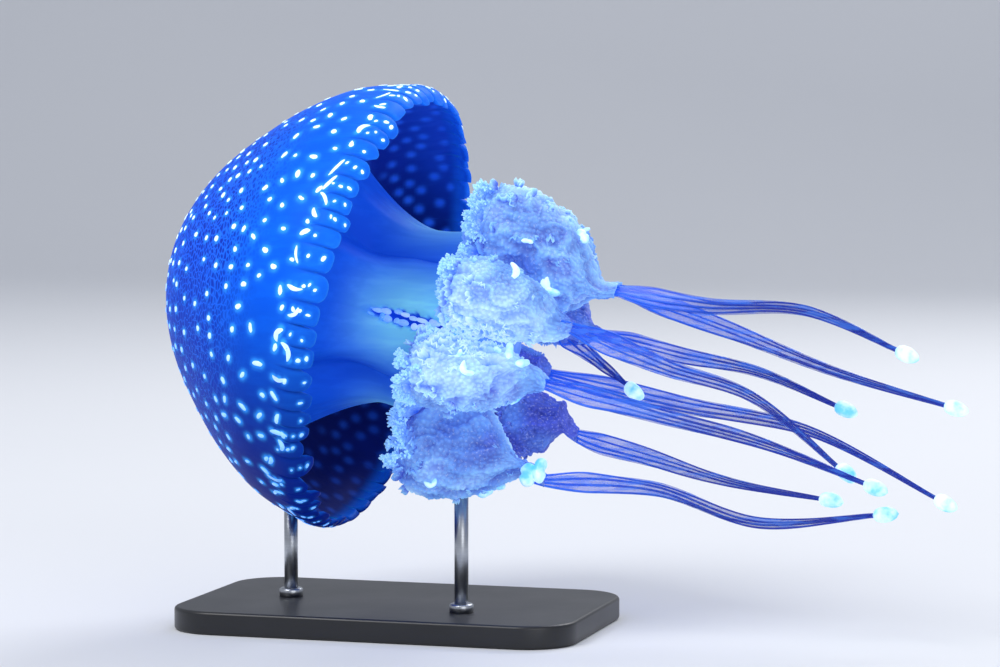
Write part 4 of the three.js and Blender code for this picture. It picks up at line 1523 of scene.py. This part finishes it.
def base_mesh(stand):
    """The base plate, with round corners and rounded edges."""
    low, high = (np.array(corner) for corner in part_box("stand_base"))
    middle, half = (low + high) / 2, (high - low) / 2
    per_corner = 12
    turn = (np.linspace(0, QUARTER, per_corner) + np.arange(4)[:, None] * QUARTER).ravel()
    signs = np.repeat([(1, 1), (-1, 1), (-1, -1), (1, -1)], per_corner, axis=0)
    corner = signs * (half[:2] - stand.corner)
    outward = np.stack([np.cos(turn), np.sin(turn)], -1)
    edge = np.linspace(0, QUARTER, 6)
    falls, rises = stand.bevel * (1 - np.sin(edge)), stand.bevel * (1 - np.cos(edge))
    rings = []
    for inset, z in [*zip(falls, low[2] + rises), *zip(rises, high[2] - falls)]:
        rings.append(ring_at(middle[:2] + corner + outward * (stand.corner - inset), z))
    top, under = rings[-1][:, :2] - middle[:2], rings[0][:, :2] - middle[:2]
    rings += [ring_at(middle[:2] + top * shrink, high[2]) for shrink in (0.985, 0.985 / 2)]
    rings.insert(0, ring_at(middle[:2] + under * 0.985, low[2]))
    ends = (*middle[:2], low[2]), (*middle[:2], high[2])
    return build_mesh("stand_plate", *closed_form(np.array(rings), ends))


def ring_at(flat, height):
    """A flat ring of points at a height."""
    return np.column_stack([flat, np.full(len(flat), height)])


def turned_mesh(name, centre, profile, sides=40):
    """A piece turned round an upright axis from heights and radii."""
    turn = ring_of(sides)
    flat = np.stack([np.cos(turn), np.sin(turn)], -1)
    rings = [ring_at(np.array(centre[:2]) + flat * radius, height) for height, radius in profile]
    ends = [(*centre[:2], height) for height in (profile[0][0], profile[-1][0])]
    return build_mesh(name, *closed_form(np.array(rings), ends))


def lacquer_material(stand):
    """Satin black lacquer with faint dust and rub marks."""
    g = Graph("lacquer")
    cloud = g.noise(26, 4)
    shade = g.mix(stand.base, rgb(44, 46, 52), g.step(cloud, 0.45, 0.75) * 0.35)
    rough = 0.3 + cloud * 0.14
    return g.finish(shade, Roughness=rough, Normal=g.bump(g.noise(900, 2), 0.0001, 0.15))


def steel_material(stand):
    """Brushed steel, its marks running round the rod."""
    g = Graph("brushed_steel")
    brush = g.noise(140, 4, stretch=(1, 1, 24))
    shade = g.mix(stand.steel, rgb(120, 124, 132), brush * 0.5)
    return g.finish(
        shade, Metallic=1.0, Roughness=0.22 + brush * 0.2, Normal=g.bump(brush, 0.0001, 0.3)
    )


# ---------- operators ----------


class JellyfishOperator(bpy.types.Operator):
    """Base of the operators: gives them the scene's settings."""

    bl_options = {"REGISTER", "UNDO"}

    def execute(self, context):
        self.make(context.scene.jellyfish)
        return {"FINISHED"}


class JELLYFISH_OT_skin(JellyfishOperator):
    """Make the skin of the bell, column and arms, and the spots on it"""

    bl_idname = "jellyfish.skin"
    bl_label = "Skin and Spots"

    def make(self, settings):
        skin, spots = settings.skin, settings.spots
        layout = spot_layout(spots)
        nodes = ["bell", *MARGIN_NODES, *TRUNK_NODES]
        add_piece(skin_mesh(skin, spots, layout), jelly_material(skin), nodes)
        add_piece(spots_mesh(layout, spots, skin), spot_material())


class JELLYFISH_OT_lobes(JellyfishOperator):
    """Make the pale lumps in the slots of the column"""

    bl_idname = "jellyfish.lobes"
    bl_label = "Slot Lobes"

    def make(self, settings):
        add_piece(slot_lobes(), frill_material())


class JELLYFISH_OT_frills(JellyfishOperator):
    """Make the frills of the eight arms"""

    bl_idname = "jellyfish.frills"
    bl_label = "Frills"

    def make(self, settings):
        frills = settings.frills
        material = frill_material()
        trees = []
        for index in range(len(ARMS)):
            flesh = frill_skin(index, frills)
            trees.append(surface_tree(flesh))
            add_piece(flesh, material, [f"frill_{index + 1}"])
            add_piece(leaves_mesh(index, frills), material)
            add_piece(fringe_mesh(index, frills), material)
        bodies = bodies_mesh(trees, frills, settings.stage)
        add_piece(bodies, club_material(settings.tails))


class JELLYFISH_OT_tails(JellyfishOperator):
    """Make the tails and their clubs"""

    bl_idname = "jellyfish.tails"
    bl_label = "Tails and Clubs"

    def make(self, settings):
        tails = settings.tails
        strands, webs, clubs = Batch(), Batch(), Batch()
        lines = [*(tail_line(index) for index in range(len(ARMS))), short_line()]
        for number, line in enumerate(lines):
            add_tail(line, number, tails, strands, webs)
            club_piece(line, clubs, seed=number)
        nodes = [f"tail_{i}_{part}" for i in OCTANTS for part in ("upper", "lower")]
        nodes.append("tail_short")
        add_piece(strands.mesh("tail_strands"), strand_material(), nodes)
        add_piece(webs.mesh("tail_webs"), web_material())
        nodes = [f"club_{i}" for i in (*OCTANTS, "short")]
        add_piece(clubs.mesh("tail_clubs"), club_material(tails), nodes)


class JELLYFISH_OT_stand(JellyfishOperator):
    """Make the display stand"""

    bl_idname = "jellyfish.stand"
    bl_label = "Stand"

    def make(self, settings):
        stand = settings.stand
        steel = steel_material(stand)
        add_piece(base_mesh(stand), lacquer_material(stand), ["stand_base"])
        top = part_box("stand_base")[1].z
        for node in ("stand_rod_bell", "stand_rod_arms"):
            low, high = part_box(node)
            centre = (low + high) / 2
            radius = (high.x - low.x) / 2
            profile = [(top - 0.0005, radius), (high.z, radius)]
            add_piece(turned_mesh(f"{node}_steel", centre, profile), steel, [node])
            collar = stand.collar
            profile = [
                (top, collar),
                (top + 0.0030, collar),
                (top + 0.0036, collar - 0.0006),
                (top + 0.0036, radius + 0.0001),
            ]
            add_piece(turned_mesh(f"{node}_collar", centre, profile), steel)


class JELLYFISH_OT_stage(JellyfishOperator):
    """Set up the floor, the lights and the camera"""

    bl_idname = "jellyfish.stage"
    bl_label = "Stage"

    def make(self, settings):
        stage = settings.stage
        make_floor(stage)
        make_camera(stage)
        make_lights()


def make_floor(stage):
    """A pale floor that curves up into a backdrop."""
    bend = np.linspace(0, QUARTER, 16)
    radius, reach, wide = 1.2, 2.6, 6.0
    curve = zip(reach + radius * np.sin(bend), radius * (1 - np.cos(bend)))
    line = [(-6.0, 0.0), *curve, (reach + radius, 5.0)]
    y, z = np.array(line).T
    points = [np.column_stack([np.full(len(y), x), y, z]) for x in (-wide, wide)]
    quads = grid_faces(2, len(y), closed=False)
    mesh = build_mesh("floor", np.concatenate(points), quads)
    g = Graph("floor")
    shade = g.mix(stage.floor, rgb(214, 217, 222), g.noise(1.5, 2) * 0.3)
    mesh.materials.append(g.finish(shade, Roughness=0.85))
    floor = new_object(mesh)


def view_frame(stage):
    """Where the camera stands and its right, up and back, so that the crown of the bell lands at
    its own pixel of the view."""
    turn, rise = stage.azimuth, stage.elevation
    right = np.array([math.cos(turn), math.sin(turn), 0])
    level = np.array([math.sin(turn), -math.cos(turn), 0])
    back = level * math.cos(rise) + (0, 0, math.sin(rise))
    above = np.cross(back, right)
    per_pixel = stage.across / VIEW_SIZE[0]
    target = CROWN + right * (VIEW_SIZE[0] / 2 - CROWN_SHOWS_AT[0]) * per_pixel
    target = target - above * (VIEW_SIZE[1] / 2 - CROWN_SHOWS_AT[1]) * per_pixel
    return target + back * stage.distance, right, above, back


def make_camera(stage):
    """The camera."""
    eye, _, _, back = view_frame(stage)
    data = bpy.data.cameras.new("camera")
    data.sensor_width = 36
    data.lens = data.sensor_width * stage.distance / stage.across
    data.clip_start = 0.05
    data.clip_end = 50
    camera = new_object(data)
    camera.location = eye
    camera.rotation_euler = Vector(back).to_track_quat("Z", "Y").to_euler()
    bpy.context.scene.camera = camera


def make_lights():
    """Plain, soft studio light: a key from above, a fill from the front and a rim from behind."""
    aim = Vector((0.05, 0, 0.13))
    for name, place, size, power in [
        ("key", (-0.9, -1.3, 2.1), 1.2, 34),
        ("fill", (1.6, -1.9, 0.9), 1.6, 14),
        ("rim", (0.5, 1.6, 1.7), 1.0, 22),
    ]:
        data = bpy.data.lights.new(name, "AREA")
        data.size = size
        data.energy = power
        lamp = new_object(data)
        lamp.location = place
        lamp.rotation_euler = (Vector(place) - aim).to_track_quat("Z", "Y").to_euler()
    world = bpy.data.worlds.new("studio")
    world.use_nodes = True
    sky = world.node_tree.nodes["Background"]
    sky.inputs["Color"].default_value = (0.86, 0.9, 1.0, 1)
    sky.inputs["Strength"].default_value = 0.55
    bpy.context.scene.world = world
    bpy.context.scene.view_settings.view_transform = "Standard"


# ---------- add-on ----------


class JellyfishSettings(bpy.types.PropertyGroup):
    """Every setting of the part."""

    skin: PointerProperty(type=JellyfishSkin)
    spots: PointerProperty(type=JellyfishSpots)
    frills: PointerProperty(type=JellyfishFrills)
    tails: PointerProperty(type=JellyfishTails)
    stand: PointerProperty(type=JellyfishStand)
    stage: PointerProperty(type=JellyfishStage)


STEPS = [
    JELLYFISH_OT_skin,
    JELLYFISH_OT_lobes,
    JELLYFISH_OT_frills,
    JELLYFISH_OT_tails,
    JELLYFISH_OT_stand,
    JELLYFISH_OT_stage,
]


class JELLYFISH_PT_steps(bpy.types.Panel):
    """Lists the steps that make the part."""

    bl_label = "Jellyfish"
    bl_space_type = "VIEW_3D"
    bl_region_type = "UI"
    bl_category = "Jellyfish"

    def draw(self, context):
        for step in STEPS:
            self.layout.operator(step.bl_idname)


GROUPS = [
    JellyfishSkin,
    JellyfishSpots,
    JellyfishFrills,
    JellyfishTails,
    JellyfishStand,
    JellyfishStage,
    JellyfishSettings,
]


def register():
    for cls in [*GROUPS, *STEPS, JELLYFISH_PT_steps]:
        bpy.utils.register_class(cls)
    bpy.types.Scene.jellyfish = PointerProperty(type=JellyfishSettings)


def unregister():
    del bpy.types.Scene.jellyfish
    for cls in reversed([*GROUPS, *STEPS, JELLYFISH_PT_steps]):
        bpy.utils.unregister_class(cls)


def main():
    register()
    bpy.ops.jellyfish.skin()
    bpy.ops.jellyfish.lobes()
    bpy.ops.jellyfish.frills()
    bpy.ops.jellyfish.tails()
    bpy.ops.jellyfish.stand()
    bpy.ops.jellyfish.stage()


if __name__ == "__main__":
    main()
